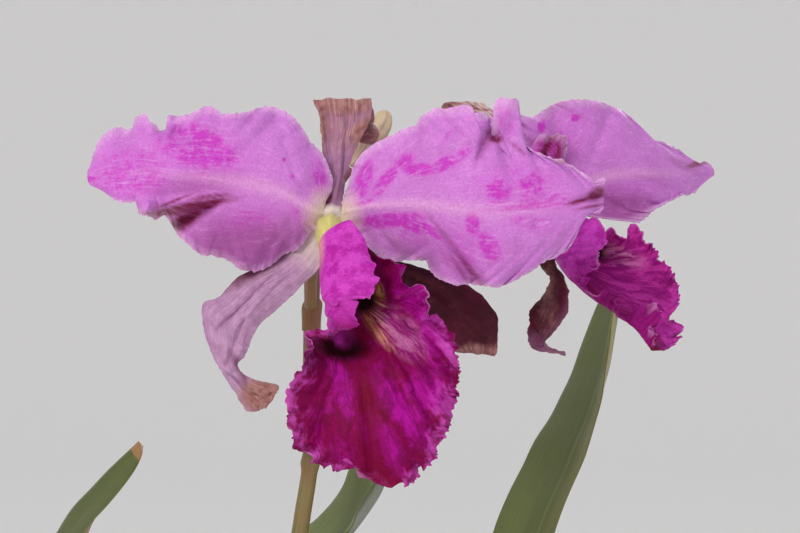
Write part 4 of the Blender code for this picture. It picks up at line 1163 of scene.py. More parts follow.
# Stations of the rolled tip of the first flower's upper sepal: x, y, z and radius
ROLLED_TIP = ((6.5, 26, 25.4, 2.3), (9, 25.6, 25.6, 2.9), (12, 25, 26, 3.3), (14.4, 24.6, 26.3, 2.5))
ROLLED_TIP_GRID = (60, 40)
ROLLED_TIP_LENGTH = 8.5
share, angle = girth_grid(*ROLLED_TIP_GRID)
table = along(ROLLED_TIP, share)
turns = 1 + 0.1 * np.cos(angle + 5 * share) + 0.05 * np.cos(5 * angle)
round_piece("dorsal_sepal_1_rolled_tip", table[..., :3] + flower_centre(1),
            table[..., 3] * rounded_ends(share, ROLLED_TIP_LENGTH, 2.4) * turns, sepal_tissue, "sepal",
            paint={"dry": 0.8})

LEFT_SEPAL_1 = (
    ((-4.6, 4, -2.6), (-2.2, 4, -5.2)),
    ((-10.9, 7.5, -8.7), (-3.6, 6.5, -15)),
    ((-18.6, 10, -14.2), (-9.8, 8, -22)),
    ((-27.6, 13, -18), (-17, 11, -29)),
    ((-35.6, 15, -25), (-23, 13, -34.4)),
    ((-40.8, 16, -28.2), (-26, 13, -39.5)),
    ((-40.2, 14, -36.2), (-27.2, 11, -43.5)),
    ((-36.9, 12, -45.2), (-29.9, 9, -46.9)),
    ((-32.6, 10.5, -51.8), (-28, 7, -50.1)),
    ((-29.6, 8.5, -56.8), (-22.6, 3, -52)),
    ((-27.2, 6, -60.6), (-16.9, 0.5, -53.4)),
    ((-25, 3.5, -61), (-18.2, -2, -57)),
    ((-22.4, 1.5, -60.4), (-20.2, -0.5, -59.4)),
)
make_sepal(
    1, "left", LEFT_SEPAL_1,
    folds=((-14, -14, -36, -36, 1.0, 1.3), (-9, -12, -30, -34, 0.8, -1), (-24, -22, -33, -47, 1.2, 1.2),
           (-33, -49, -27.5, -53.5, 1.3, 3.0), (-28, -54, -19, -58, 1.0, 1.6)),
    dry_spots=((-21.5, -56.5, 6.5, 5, 0, 1),),
    # the long crimson spot is painted shade under the left petal
    crimson_and_shade_spots=((-21, -14.5, 13, 2.6, 33, 0.9), (-29, -48, 5, 1.2, -60, 0.6)),
    purple=0.0, heart_reach=22, roll=0, seed=35)

RIGHT_SEPAL_1 = (
    ((3, 4, -2.6), (0.6, 4, -5.4)),
    ((15, 8, -12), (7, 8, -18)),
    ((26, 13, -16), (15, 13, -27)),
    ((40, 17, -20), (25, 16, -33)),
    ((51, 19, -31), (34, 18, -40)),
    ((51, 22, -43.5), (39.4, 22, -43)),
    ((49, 27.5, -41), (40, 27.5, -41)),
    ((46, 31, -34), (40, 31, -34)),
)
# This sepal lies in the right petal's shadow: its full purple tint and its strong crimson spots are painted
# shade.
make_sepal(
    1, "right", RIGHT_SEPAL_1,
    folds=((16, -14, 40, -30, 1.5, 1.6), (30, -20, 48, -38, 1.4, -1.4)),
    dry_spots=((45, -43, 8, 2.4, 0, 0.6),),
    crimson_and_shade_spots=((26, -23, 24, 10, -25, 1.75), (46, -34, 9, 9, -50, 1.6)),
    purple=1.0, heart_reach=7, roll=0, seed=39)

DORSAL_SEPAL_2 = (
    ((-2.2, 3.2, 1.9), (2.2, 3.2, 1.9)),
    ((-3, 9, 8), (3, 9, 8)),
    ((-5, 15, 16), (5, 15, 16)),
    ((-7, 23, 25), (7, 23, 25)),
    ((-9, 34, 32), (7, 34, 32)),
    ((-9, 41, 34.5), (7, 41, 34.5)),
    ((-7, 46, 28), (5, 46, 28)),
)
make_sepal(
    2, "dorsal", DORSAL_SEPAL_2,
    folds=((0, 10, -20, 33, 1.8, 2.2),),
    dry_spots=((-30, 32, 12, 9, 0, 1),),
    crimson_and_shade_spots=((-4, 12, 7, 3, 70, 0.4),),
    purple=0.7, heart_reach=5, roll=1, seed=61)

LEFT_SEPAL_2 = (
    ((-4.4, 3.6, -2.4), (-2, 3.6, -5)),
    ((-1, 8, -11), (5, 5.5, -13)),
    ((4.6, 9, -19), (9, 5, -20.5)),
    ((8.5, 8.2, -24), (12.2, 4.8, -24.4)),
    ((7.3, 9.2, -28.7), (12.9, 4.2, -28.7)),
    ((3.5, 11.2, -34.6), (11.9, 3.8, -34.6)),
    ((2.7, 12.1, -39.5), (9.9, 5.5, -39.5)),
    ((2.4, 12.2, -44.8), (6.6, 8.4, -44.8)),
    ((3.3, 10, -47.5), (10.2, 5, -48.5)),
    ((4.5, 7, -46.5), (9.6, 2, -49)),
)
make_sepal(
    2, "left", LEFT_SEPAL_2,
    folds=((0, -22, -3, -40, 1.2, 1.4), (-4, -40, 3, -50, 1.4, 1.8)),
    dry_spots=((0, -33, 3, 12, 0, 0.35),),
    # the strong crimson spot is painted shade, near black in its middle
    crimson_and_shade_spots=((-1, -26, 14, 7, 80, 1.7),),
    purple=0.7, heart_reach=6, roll=1.5, seed=65)

RIGHT_SEPAL_2 = (
    ((4, 3.6, -1.4), (2.2, 3.6, -4.8)),
    ((13, 9, -3), (10, 10, -13)),
    ((23, 13, -4), (20, 14, -18)),
    ((33, 17, -7), (30, 18, -20)),
    ((40, 24, -10), (37, 25, -20)),
    ((43, 32, -12), (41, 33, -18)),
)
make_sepal(
    2, "right", RIGHT_SEPAL_2,
    folds=((4, -6, 18, -14, 1.4, 1.4),),
    dry_spots=((16, -16, 5, 4, 0, 0.7),),
    crimson_and_shade_spots=((8, -10, 9, 4, -30, 0.4),),
    purple=0.6, heart_reach=6, roll=0, seed=69)

# The petals: two broad soft wings on each flower, thin at the edge and thicker along the midrib. They grow
# from the column's foot, stand out on both sides, fold as they age, and crimp and fray at the margin.
PETAL_ROWS = 380
PETAL_COLUMNS = 94
PETAL_EDGE_THICKNESS = 0.4
PETAL_RIB_THICKNESS = 1.1
PETAL_RIM = 2.5
PETAL_HEART_REACH = 11
PETAL_HEART_FADE = 8
# How many steps of a margin are looked through for the next point of its outline
MARGIN_REACH = 64
MARGIN_HOLD = 3.5
MARGIN_SMOOTHING = np.array((0.25, 0.5, 0.25))
# Depth in millimetres, knots, step of the seed, and how close a crimp stays to the margin
PETAL_CRIMPS = ((0.7, 26, 12, 1), (1.1, 52, 2, 3), (0.4, 120, 5, 8))
PETAL_FRAY = ((0.3, 110, 8), (0.14, 260, 9))

# Petal tissue: soft living skin whose domed cells catch the light as fine
# sparkle. It is lilac-pink with magenta splashes that follow the veins, pale
# along the midrib, cream at the heart and whitish at the frayed margin. Darker
# rose painted shade lies on the lower half and beside the creases, deep crimson
# in the folds is partly its own colour and partly painted shade, and near-black
# painted shadow fills the deepest folds.
petal_tissue, tree, shader = start_material("petal_tissue", {
    "Roughness": 0.5, "IOR": 1.4, "Specular IOR Level": 0.22, "Subsurface Weight": 0.2,
    "Subsurface Radius": (1.0, 0.45, 0.75), "Subsurface Scale": 0.0012, "Sheen Weight": 0.04,
    "Sheen Roughness": 0.4})
fan_chart = add(tree, "CombineXYZ", {}, X="fan", Y="reach")
veins_chart = add(tree, "Mapping", {"Scale": (15.0, 0.14, 1.0)}, Vector=fan_chart)
veins = add(tree, "TexNoise", {"noise": (1.0, 6.0, 0.7, 0.5)}, Vector=veins_chart)
blotches = add(tree, "TexNoise", {"noise": (420.0, 6.0, 0.7)}, Vector="Object")
clouds = add(tree, "TexNoise", {"noise": (75.0, 4.0, 0.6)}, Vector="Object")
cells = add(tree, "TexNoise", {"noise": (1500.0, 2.0, 0.7)}, Vector="Object")
streak_share = add(tree, "MapRange", {"From Min": 0.36, "From Max": 0.64, "To Min": 0.1, "To Max": 0.95},
                   Value=veins)
blotch_share = add(tree, "MapRange", {"From Min": 0.34, "From Max": 0.66, "To Max": 1.5}, Value=blotches)
feathered = add(tree, "Math", {}, _0=streak_share, _1=blotch_share)
broken = add(tree, "Math", {"operation": "MULTIPLY"}, _0=feathered, _1="flare")
splash = add(tree, "MapRange", {"smooth": (0.42, 1.55, 0.95)}, Value=broken)
pale_streaks = add(tree, "MapRange", {"smooth": (0.48, 0.28, 0.35)}, Value=veins)
dull_clouds = add(tree, "MapRange", {"smooth": (0.42, 0.7, 0.5)}, Value=clouds)
deep_streaks = add(tree, "MapRange", {"From Min": 0.3, "From Max": 0.65, "To Min": 0.5, "To Max": 1.2},
                   Value=veins)
# painted shade: crimson in the folds, broken up along the veins
deep_crimson_shade_share = add(tree, "Math", {"operation": "MULTIPLY"}, _0="deep", _1=deep_streaks)
rim_share = add(tree, "Math", {"operation": "MULTIPLY"}, _0="rim", _1=blotches)
lilac = add(tree, "Mix", {"mix": ("#b264b8", "#cd86d3")}, _0=blotches)
# painted shade: the rose, deep and shadow coats darken the petal beside creases, in its folds and in the
# deepest folds
tissue = lay_coats(
    tree, lilac, (dull_clouds, 1, "#ab62ad"), ("rose", 1, "#99498f"), ("flare", 0.5, "#bf58c0"),
    (pale_streaks, 1, "#dcaae0"), (splash, 1, "#b832b2"), ("midrib", 0.7, "#dda9cf"),
    (deep_crimson_shade_share, 1, "#7a0f40"), ("shadow", 1, "#3a041c"), ("heart", 1, "#dccbb4"), (rim_share, 1, "#dcb8da"))
finish_material(tree, shader, tissue, cells, 0.84, 1.12, (0.4, 0.0006, veins), (0.35, 0.0002, cells))


def pull_margin(places, v, sign, outline, u):
    """Move one margin of a grid onto its outline of (x, z) as seen, less and less towards the middle."""
    edge = places[:, -1 if sign > 0 else 0][:, (0, 2)]
    last = len(edge) - 1
    at = 0
    stations, shifts = [0.0], [np.zeros(2)]
    for point in np.array(outline, dtype=float):
        ahead = edge[at:at + MARGIN_REACH]
        at = min(at + int(np.argmin(np.linalg.norm(ahead - point, axis=1))), last)
        stations.append(u[at, 0])
        shifts.append(point - edge[at])
        at = min(at + 1, last)
    pull = np.clip(sign * v, 0, 1) ** MARGIN_HOLD
    for axis, values in zip((0, 2), np.array(shifts).T):
        eased = np.pad(np.interp(u[:, 0], stations, values), 1, mode="edge")
        eased = np.convolve(eased, MARGIN_SMOOTHING, mode="valid")
        places[..., axis] += pull * eased[:, None]


def make_petal(flower, side, ribs, upper, lower, folds, waves, flares, rose_shade_spots, deep_crimson_shade_spots, seed):
    """A petal through ribs of upper margin, midrib and lower margin, with creases, crimps and a frayed edge.

    Waves push a margin back: side, share of the length, reach and depth in millimetres. Rose spots paint
    darker rose shade. A deep spot paints crimson, partly painted shade, and one stronger than 1 paints
    near-black painted shadow in its middle; the deepest creases are painted the same way.
    """
    u, v = blade_grid(PETAL_ROWS, PETAL_COLUMNS)
    table = along(ribs, u)
    top, middle, bottom = (table[:, :, rib] for rib in range(3))
    across = v[..., None]
    places = turn_flower(middle + across * (top - bottom) / 2 + across ** 2 * ((top + bottom) / 2 - middle),
                         flower)
    open_share = np.minimum(1, 12 * u * (1 - 0.9 * u))
    slanted = (u + 0.16 * np.abs(v)) / 1.16
    for sign, outline in ((1, upper), (-1, lower)):
        inner = np.clip(sign * v, 0, 1)
        pull_margin(places, v, sign, outline, u)
        for depth, knots, step, hold in PETAL_CRIMPS:
            places[..., 1] += open_share * depth * ripple(slanted, knots, seed + sign + step) * inner ** hold
        fray = open_share * ripples(u, PETAL_FRAY, seed + sign) * inner ** 12
        places += turn_flower(unit(top - bottom) * sign, flower) * fray[..., None]
    for sign, share, reach, depth in waves:
        places[..., 1] += depth * bell(u, share, reach) * np.clip(sign * v, 0, 1) ** 2
    lying = crease(places, folds)
    from_centre = np.linalg.norm(places, axis=2)
    half_breadth = np.linalg.norm(top - bottom, axis=2) / 2
    # painted shade: crimson from the deep spots and the deepest creases, near-black shadow where it passes 1
    crimson = patches(places, deep_crimson_shade_spots) + 0.9 * lying
    paint = {
        "fan": v / (u + 0.18),
        "reach": from_centre,
        "flare": patches(places, flares),
        "rose": patches(places, rose_shade_spots),
        "deep": np.clip(crimson, 0, 1),
        "shadow": np.clip(crimson - 1, 0, 1),
        "heart": np.clip((PETAL_HEART_REACH - from_centre) / PETAL_HEART_FADE, 0, 1),
        "rim": np.clip(1 - (1 - np.abs(v)) * half_breadth / PETAL_RIM, 0, 1),
        "midrib": np.exp(-(v / 0.09) ** 2) * (1 - u),
    }
    rib_share = np.exp(-(v / 0.12) ** 2) * (1 - u)
    thickness = PETAL_EDGE_THICKNESS + (PETAL_RIB_THICKNESS - PETAL_EDGE_THICKNESS) * rib_share
    node = f"{side}_petal_{flower}"
    thin_piece(node + "_tissue", places + flower_centre(flower), thickness, petal_tissue, "petal", node,
               paint=paint)


# Ribs of each petal from the heart to the tip, with places on its upper margin, midrib and lower margin, and
# outlines of the margins as x, z seen from the front
LEFT_PETAL_1 = (
    ((-2.6, 3, 3.2), (-2.2, 2, 0), (-4.6, 1, -4.5)),
    ((-0.3, 4, 8.4), (-6.2, -2, 1.6), (-8.1, 3, -6.5)),
    ((-3.1, 5, 20.2), (-9.9, -4, 3.7), (-12.7, 6, -11.2)),
    ((-10.6, 4, 28.9), (-16.2, -6, 7.1), (-22.4, 8, -17.1)),
    ((-21.7, 0, 33.9), (-27, -8, 9.9), (-34.2, 6, -13.7)),
    ((-34.2, -4, 32), (-37.9, -9, 11.5), (-44.7, 2, -9.6)),
    ((-46.6, -4, 30.4), (-48.8, -10, 12.4), (-51.9, 4, -0.9)),
    ((-57.5, -4, 30.8), (-57.2, -9, 13), (-56.5, -8, 3.1)),
    ((-68.3, 0, 26.7), (-67.4, -6, 12.4), (-64.3, -6, 4)),
    ((-74.5, 0, 17.1), (-75.8, -4, 11.2), (-73, -4, 7.8)),
)
LEFT_PETAL_1_UPPER = (
    (-3.2, 4), (-0.8, 7), (0.1, 9.9), (-0.9, 14), (-3.2, 18.9), (-6.9, 22.7), (-10.2, 27.7), (-12.1, 30.4),
    (-15.7, 32.8), (-19.7, 33.7), (-23.1, 33.3), (-25.8, 32.1), (-28.6, 31.4), (-34.5, 31.4), (-37.3, 33.5),
    (-39.6, 33.9), (-41.7, 32.4), (-47.2, 30.4), (-50.3, 31.1), (-51.3, 30.1), (-50.7, 26.6), (-53.4, 26),
    (-54.7, 27.7), (-56.5, 28.7), (-57.8, 31.7), (-61.2, 30.1), (-61.8, 27), (-64.1, 26.1), (-66.2, 27.3),
    (-68.2, 26.7), (-72.2, 23.8), (-73.3, 22), (-74.5, 18), (-74, 15.5), (-75.9, 12.6),
)
LEFT_PETAL_1_LOWER = (
    (-6, -4.5), (-8.5, -8), (-11.5, -11), (-15.7, -12.3), (-21.1, -16.4), (-24.4, -17.6), (-28.6, -17.1),
    (-31.8, -14.6), (-37.9, -12.3), (-39.2, -12.9), (-44.7, -9.3), (-49.4, -4.3), (-52.4, 0.4), (-55, -1.6),
    (-58, -0.3), (-59.8, 0.2), (-59.8, 1.2), (-57.6, 3.9), (-58.1, 4.8), (-61.5, 4.1), (-64.9, 3.8),
    (-68.2, 5.3), (-70.8, 7.9), (-73.9, 10), (-75.8, 11),
)
make_petal(
    1, "left", LEFT_PETAL_1, LEFT_PETAL_1_UPPER, LEFT_PETAL_1_LOWER,
    folds=((-31.7, 5.3, -50.5, -3.6, 2.6, 7), (-33, 6.4, -56, 2.6, 2.2, -3), (-20, 10, -62, 34, 3, 1.6),
           (-10, 8, -20, 38, 3, 1.2), (-12, 0, -28, -22, 2.6, 1.2)),
    waves=((1, 0.42, 0.05, 2.5), (1, 0.52, 0.05, -2), (1, 0.68, 0.03, 3), (1, 0.77, 0.05, -2.5),
           (1, 0.86, 0.04, 2), (-1, 0.25, 0.05, 1.5), (-1, 0.9, 0.05, -1.5)),
    flares=((-37.5, 21.5, 9, 4, -39, 1), (-43, 17.5, 9, 2.2, -12, 0.9), (-67.5, 13, 5.5, 0.9, 9, 0.9),
            (-54.5, 12.3, 2.5, 0.5, 0, 1), (-3.5, 11.5, 6, 2.6, -78, 0.85), (-15, 17, 0.7, 0.7, 0, 0.9),
            (-12.5, 12, 1, 0.8, 0, 0.9), (-62, 13, 13, 8, 3, 0.7), (-11.5, 1, 5, 1.5, -50, 0.5),
            (-26, -1, 9, 3, 12, 0.5), (-42, 20, 15, 8, -20, 0.7), (-66, 16, 9, 3, 20, 0.6),
            (-75, 11, 2, 1, 0, 1)),
    # rose spots are painted shade on the lower half; deep spots paint the fold's crimson shade and its shadow
    rose_shade_spots=((-28, -9, 17, 8, 5, 0.75), (-14, -6, 6, 3, -50, 0.4), (-40, 10, 10, 3.5, 8, 0.5)),
    deep_crimson_shade_spots=((-45.5, 2.2, 13, 1.3, 11, 1.05), (-45.6, -1.6, 4.6, 2.2, 40, 0.65), (-57, -0.3, 2.4, 1.2, 20, 1),
           (-38, 5.6, 5, 0.5, 8, 0.9), (-49, 4.2, 5, 0.4, 20, 0.8), (-33, -14.5, 9, 0.8, -20, 0.35)),
    seed=11)

RIGHT_PETAL_1 = (
    ((2.4, 3, 3.4), (1.8, 2, -0.2), (2.6, 1, -3.6)),
    ((4, 4, 7.8), (6.2, -1, 1.6), (8.1, 2, -3.4)),
    ((7.1, 4, 16.2), (14, -3, 3.1), (14.9, 4, -10.2)),
    ((16.5, 2, 23.9), (25.8, -6, 3.4), (24.8, 4, -14.3)),
    ((28.9, -2, 31.4), (37.9, -8, 1.9), (33.5, 0, -19.6)),
    ((42.9, -4, 33.2), (49.7, -8, 0.9), (44.4, -2, -21.7)),
    ((52.2, -2, 28.4), (61.5, -6, 1.6), (54.2, 0, -21.7)),
    ((64.6, 0, 20.6), (73.3, -3, 3.7), (66.2, 2, -14.6)),
    ((75.5, 2, 13.4), (80.1, 0, 4.7), (75.5, 3, -4.7)),
    ((83.9, 2, 11.2), (84.5, 3.4, 5.3), (83.2, 4, 0.9)),
)
RIGHT_PETAL_1_UPPER = (
    (3.5, 4.5), (4, 7.5), (5.5, 11), (7, 16), (10, 20), (12.5, 22), (16.5, 24), (19, 25), (21.5, 26.5),
    (26, 28), (27, 30), (30.4, 32.7), (33.1, 33.5), (36.1, 32.7), (40.2, 33.9), (43.6, 33.3), (43.4, 31.2),
    (46.2, 31.6), (48.1, 31), (49.8, 29.7), (48.5, 27.4), (47, 26.1), (46.6, 23), (49.4, 25), (50.2, 29.5),
    (50.4, 31.8), (49.1, 33.8), (50.8, 35.3), (52.5, 37.4), (53.2, 35.4), (54.3, 35.7), (57.3, 36.1),
    (58.3, 35.2), (56.8, 33.1), (56.6, 26.9), (56.8, 24.6), (57.9, 22.7), (59.8, 21.4), (62.1, 20.1),
    (65.1, 18.8), (68.1, 17.5), (71.1, 17.5), (72.2, 16.3), (74.1, 15.6), (77.1, 13.3), (79.4, 12.2),
    (80.5, 10.7), (81, 9.6), (84.3, 11.8), (85.6, 10.7),
)
RIGHT_PETAL_1_LOWER = (
    (4.6, -4.6), (7.6, -7), (10.9, -9.6), (13, -11.8), (15.4, -13.5), (20, -14.6), (24.2, -13.9),
    (29.2, -13.9), (30.7, -17.7), (32.8, -19.9), (36.3, -21.3), (39.4, -21.9), (43.4, -21.3), (46.2, -21.9),
    (49, -22.1), (51.2, -22.7), (54.7, -21.3), (59, -18.9), (61.1, -18.1), (63.6, -16.4), (63.9, -15.3),
    (67.4, -13.9), (71.7, -11.8), (73.1, -10.7), (75.6, -7.1), (75.8, -3.6), (75.4, -1.2), (76.7, 0.2),
    (79.4, 0.9), (83.1, 0.5), (84.9, 3),
)
make_petal(
    1, "right", RIGHT_PETAL_1, RIGHT_PETAL_1_UPPER, RIGHT_PETAL_1_LOWER,
    folds=((44, 15, 48.5, 25, 2, 4.5), (29, 0, 46.5, -24, 2.2, 3), (58, 6, 72, -16, 3, 1.4),
           (10, 6, 36, 38, 3, 1.2), (50, 16, 54.5, 36, 2.6, -2.6), (12, -1, 25, -18, 2.0, 1.5),
           (73.5, 4, 86, 6.6, 2.2, 4.2), (26, 2, 38, -26, 2, -1.4)),
    waves=((1, 0.48, 0.05, 1.5), (1, 0.57, 0.035, -2), (1, 0.62, 0.03, 4), (1, 0.72, 0.03, 2.5),
           (1, 0.8, 0.04, -2), (-1, 0.4, 0.035, 2.5), (-1, 0.47, 0.05, -2), (-1, 0.6, 0.06, -1.5),
           (-1, 0.8, 0.05, 1.5)),
    flares=((10, 11, 6, 2.4, 75, 1), (16.5, 10.5, 6, 1.8, 50, 1), (22.5, 16.5, 3.5, 2, 30, 1),
            (27, 14, 5, 2, 0, 1), (34.5, 15.5, 5, 2, 25, 1), (40, 18.5, 4, 1.5, 35, 0.9),
            (35.5, 24, 5, 0.8, 55, 0.6), (9.5, 3.5, 3.5, 1, 20, 1), (51.5, 7, 4.5, 4, -60, 0.9),
            (61.5, 9, 4.5, 4, 60, 0.9), (66, 4.5, 10, 3, 0, 0.7), (61.5, 2.6, 15, 0.8, 5, 1),
            (18, -1.6, 10, 2.2, 2, 1.2), (24, -3.4, 5, 1.6, -25, 1), (30, -4.5, 5, 1.3, -35, 1),
            (25.5, -7, 7, 2.5, -30, 0.5), (43.5, -3, 4, 2.2, 90, 1), (48.5, -10, 5, 3, -60, 0.9),
            (61, -2, 8, 2.5, -10, 0.6), (54, 30, 6, 3, 90, 0.5), (58, 10, 14, 7, 0, 0.5),
            (40, -10, 8, 5, -50, 0.5)),
    # rose and deep spots are painted shade beside the creases, in the pleats and in the curled tip
    rose_shade_spots=((40, -16, 7, 3, -40, 0.6), (20, -10, 6, 3, -20, 0.3), (52, 27, 5, 1, 85, 0.4)),
    deep_crimson_shade_spots=((76.5, 4.2, 3.4, 0.7, 14, 0.9), (82, 6.8, 3, 1.5, 35, 0.9), (80, 2.6, 4, 0.4, 10, 0.8),
           (50.8, 23.4, 1.6, 1, 0, 1.3), (43, -17, 6, 0.7, -52, 0.5), (40.5, -19, 5, 0.4, -56, 0.4),
           (35, -6, 8, 0.6, -50, 0.25), (57.5, 20.5, 3, 0.5, -40, 0.6), (71, 16.5, 1.4, 0.6, 0, 0.8)),
    seed=31)

LEFT_PETAL_2 = (
    ((-3.2, 2, 2.5), (-3.1, 1, 0.3), (-3.3, 1, -2)),
    ((3.5, -4, 12), (-6, -2, 2), (-7, 3, -5)),
    ((4.5, -5, 19), (-9, -3, 3), (-10, 4, -7)),
    ((-2, -5, 23.5), (-13, -2, 4), (-14, 4, -10)),
    ((-16, 2, 19), (-22, -3, 4), (-23, 4, -14)),
    ((-28, 2, 16), (-32, -4, 4), (-33, 3, -15)),
    ((-40, 0, 19), (-42, -4, 4), (-43, 2, -14)),
    ((-51, 0, 18), (-51, -3, 4), (-52, 2, -10)),
    ((-60, 1, 13), (-60, -1, 5), (-60, 2, -3)),
)
LEFT_PETAL_2_UPPER = (
    (2, 8), (4.2, 13), (5.6, 17), (6.1, 20.7), (5.8, 22.7), (2.5, 23.2), (0.8, 22.4), (-2.8, 22.9),
    (-4.7, 20.4), (-5.3, 18.4),
)
make_petal(
    2, "left", LEFT_PETAL_2, LEFT_PETAL_2_UPPER,
    lower=(),
    folds=((-3, 12, 2, 25, 2, 4.5), (1.5, 12, 6, 24, 1.4, -3), (-16, 6, -34, 12, 3, 2.5),
           (-10, -2, -24, -10, 3, 2)),
    waves=((1, 0.3, 0.06, 2), (1, 0.55, 0.05, -2.5), (1, 0.8, 0.05, 2), (-1, 0.35, 0.05, 2),
           (-1, 0.6, 0.06, -2)),
    flares=((1, 19, 7, 7, 0, 1), (-12, 12, 8, 4, 60, 0.9), (-26, 6, 9, 3, 5, 0.8), (-36, 10, 7, 3, 20, 0.7)),
    rose_shade_spots=(),
    # deep spots are painted shade in the fold at the top
    deep_crimson_shade_spots=((2, 18, 7, 6, 0, 0.6), (-2, 17, 3, 1, 70, 1.3), (3, 16, 4, 0.8, 80, 1.2)),
    seed=51)

RIGHT_PETAL_2 = (
    ((3.3, 2, 3), (3.2, 1, 1), (3.4, 1, -2)),
    ((-4, 6, 14), (6, -1, 3), (9, 2, -4)),
    ((-10, 6, 27), (14, -3, 7), (19, 3, -6)),
    ((3, 3, 33), (24, -5, 10), (30, 2, -6)),
    ((18, -1, 35), (35, -7, 11), (40, 0, -5)),
    ((32, -3, 32.5), (46, -7, 11), (49, -2, -2)),
    ((45, -3, 25), (57, -5, 11), (59, -2, 2)),
    ((60, -1, 18.5), (68, -2, 12), (69, 0, 5)),
    ((77, 2, 14.5), (78.5, 1, 12), (78, 2, 8.5)),
)
RIGHT_PETAL_2_UPPER = (
    (-10.9, 27.2), (-5, 28.7), (-0.6, 31.9), (4.1, 33.9), (8.9, 34.9), (17.6, 34.3), (24.4, 31.9),
    (27.9, 29.6), (30.2, 27.3), (30.5, 25.5), (33.8, 23.2), (34.9, 22), (39, 21.7), (44.9, 19.1), (49, 15.5),
    (50.7, 14.4), (54.2, 15.5),
)
RIGHT_PETAL_2_LOWER = (
    (30.3, -5.5), (36.1, -0.8), (40.8, 2.1), (45.4, 4.2), (47.8, 3.9), (50.7, 5), (53.6, 8.5), (55.7, 12.6),
    (55.4, 15.2),
)
make_petal(
    2, "right", RIGHT_PETAL_2, RIGHT_PETAL_2_UPPER, RIGHT_PETAL_2_LOWER,
    folds=((6, 10, 2, 30, 3, 2.5), (12, 10, 22, 33, 3, 2.2), (26, 10, 48, 5, 2.4, 1.8),
           (18, 4, 28, -5, 2.4, 2)),
    waves=((1, 0.3, 0.05, 2.5), (1, 0.45, 0.05, -2), (1, 0.62, 0.05, 2.5), (1, 0.75, 0.04, -2),
           (-1, 0.5, 0.05, 2), (-1, 0.7, 0.05, -2)),
    flares=((-2, 26, 2.4, 1.4, 70, 1), (9, 29, 2, 1.4, 0, 0.9), (6, 20, 10, 6, 60, 0.4),
            (26, 8, 12, 4, 0, 0.4)),
    # rose spots are painted shade, and deep spots painted shade in the folds
    rose_shade_spots=((22, 0, 14, 5, -10, 0.75), (0, 12, 8, 8, 0, 0.5)),
    deep_crimson_shade_spots=((51.5, 14.5, 4.2, 0.9, 15, 0.9), (46, 14, 5, 1.2, -20, 0.3)),
    seed=71)

# The lip: the third petal. It is rolled into a tube round the column and opens into a broad frilled mouth
# that hangs. It is thicker than a petal where it is rolled, and thin and crimped along its free margin.
LIP_ROWS = 300
LIP_COLUMNS = 156
LIP_THICKNESS = 0.7
LIP_EDGE_THICKNESS = 0.4
LIP_FLUTE_DEPTH = 0.9
LIP_FLUTES = 44
# Depth in millimetres, knots, step of the seed, and how close a crimp stays to the margin
LIP_CRIMPS = ((1.9, 50, 0, 5), (1.1, 120, 3, 11))
LIP_TEETH = ((0.6, 120, 5), (0.4, 260, 7))
LIP_TEETH_HOLD = 14
# Widths in millimetres of the painted rim, of the outer part and of the dark middle
LIP_RIM = 1.6
LIP_OUTER = 14
LIP_MIDDLE = 4.6

# Lip tissue: velvety and deep, crimson along its middle and purple-magenta
# between darker fanning veins. The rolled flap is bright magenta, with painted
# shade darkening it towards its lower end; the throat is yellow and whitish with
# dark red stripes; the crimped rim is pale in places. Near-black painted shade
# fills the deep throat, the hollow under the flap and the creases.
lip_tissue, tree, shader = start_material("lip_tissue", {
    "Roughness": 0.45, "IOR": 1.4, "Specular IOR Level": 0.08, "Subsurface Weight": 0.1,
    "Subsurface Radius": (1.0, 0.3, 0.6), "Subsurface Scale": 0.0008})
fan_chart = add(tree, "CombineXYZ", {}, X="fan", Y="reach")
fan_scaled = add(tree, "Mapping", {"Scale": (14.0, 0.1, 1.0)}, Vector=fan_chart)
fan_veins = add(tree, "TexNoise", {"noise": (1.0, 6.0, 0.66, 1.2)}, Vector=fan_scaled)
mottle = add(tree, "TexNoise", {"noise": (190.0, 6.0, 0.68)}, Vector="Object")
cells = add(tree, "TexNoise", {"noise": (1500.0, 2.0, 0.7)}, Vector="Object")
ridges = add(tree, "MapRange", {"smooth": (0.42, 0.6, 1.0)}, Value=fan_veins)
mottle_share = add(tree, "MapRange", {"smooth": (0.4, 0.6, 1.0)}, Value=mottle)
purple_sum = add(tree, "Math", {"operation": "MULTIPLY_ADD", 1: 0.6}, _0=mottle_share, _2="purple")
purple_share = add(tree, "MapRange", {"From Min": 0.25, "From Max": 1.2}, Value=purple_sum)
fleck_veins = add(tree, "Math", {"operation": "SUBTRACT"}, _0=mottle, _1=fan_veins)
fleck_sum = add(tree, "Math", {"operation": "MULTIPLY_ADD", 1: 1.6}, _0=fleck_veins, _2="outer")
flecks = add(tree, "MapRange", {"smooth": (0.7, 1.35, 0.7)}, Value=fleck_sum)
rim_sum = add(tree, "Math", {"operation": "MULTIPLY_ADD", 1: 0.7}, _0=mottle, _2="rim")
rim_share = add(tree, "MapRange", {"smooth": (0.95, 1.4, 0.75)}, Value=rim_sum)
velvet = add(tree, "Mix", {"mix": ("#7a0246", "#a5108c")}, _0=purple_share)
flap_skin = add(tree, "Mix", {"mix": ("#c943ba", "#ad259a")}, _0=mottle_share)
# painted shade: the flap darkens towards its lower end
flap_low = lay_coats(tree, flap_skin, ("tucked", 1, "#8f1471"))
stripes = add(tree, "Mix", {"mix": ("#d39a62", "#7d0e2e")}, _0=ridges)
whitish = add(tree, "Mix", {"mix": ("#cb7cb2", "#942277")}, _0=ridges)
blush = add(tree, "Mix", {"mix": ("#cb3aa8", "#a01a82")}, _0=ridges)
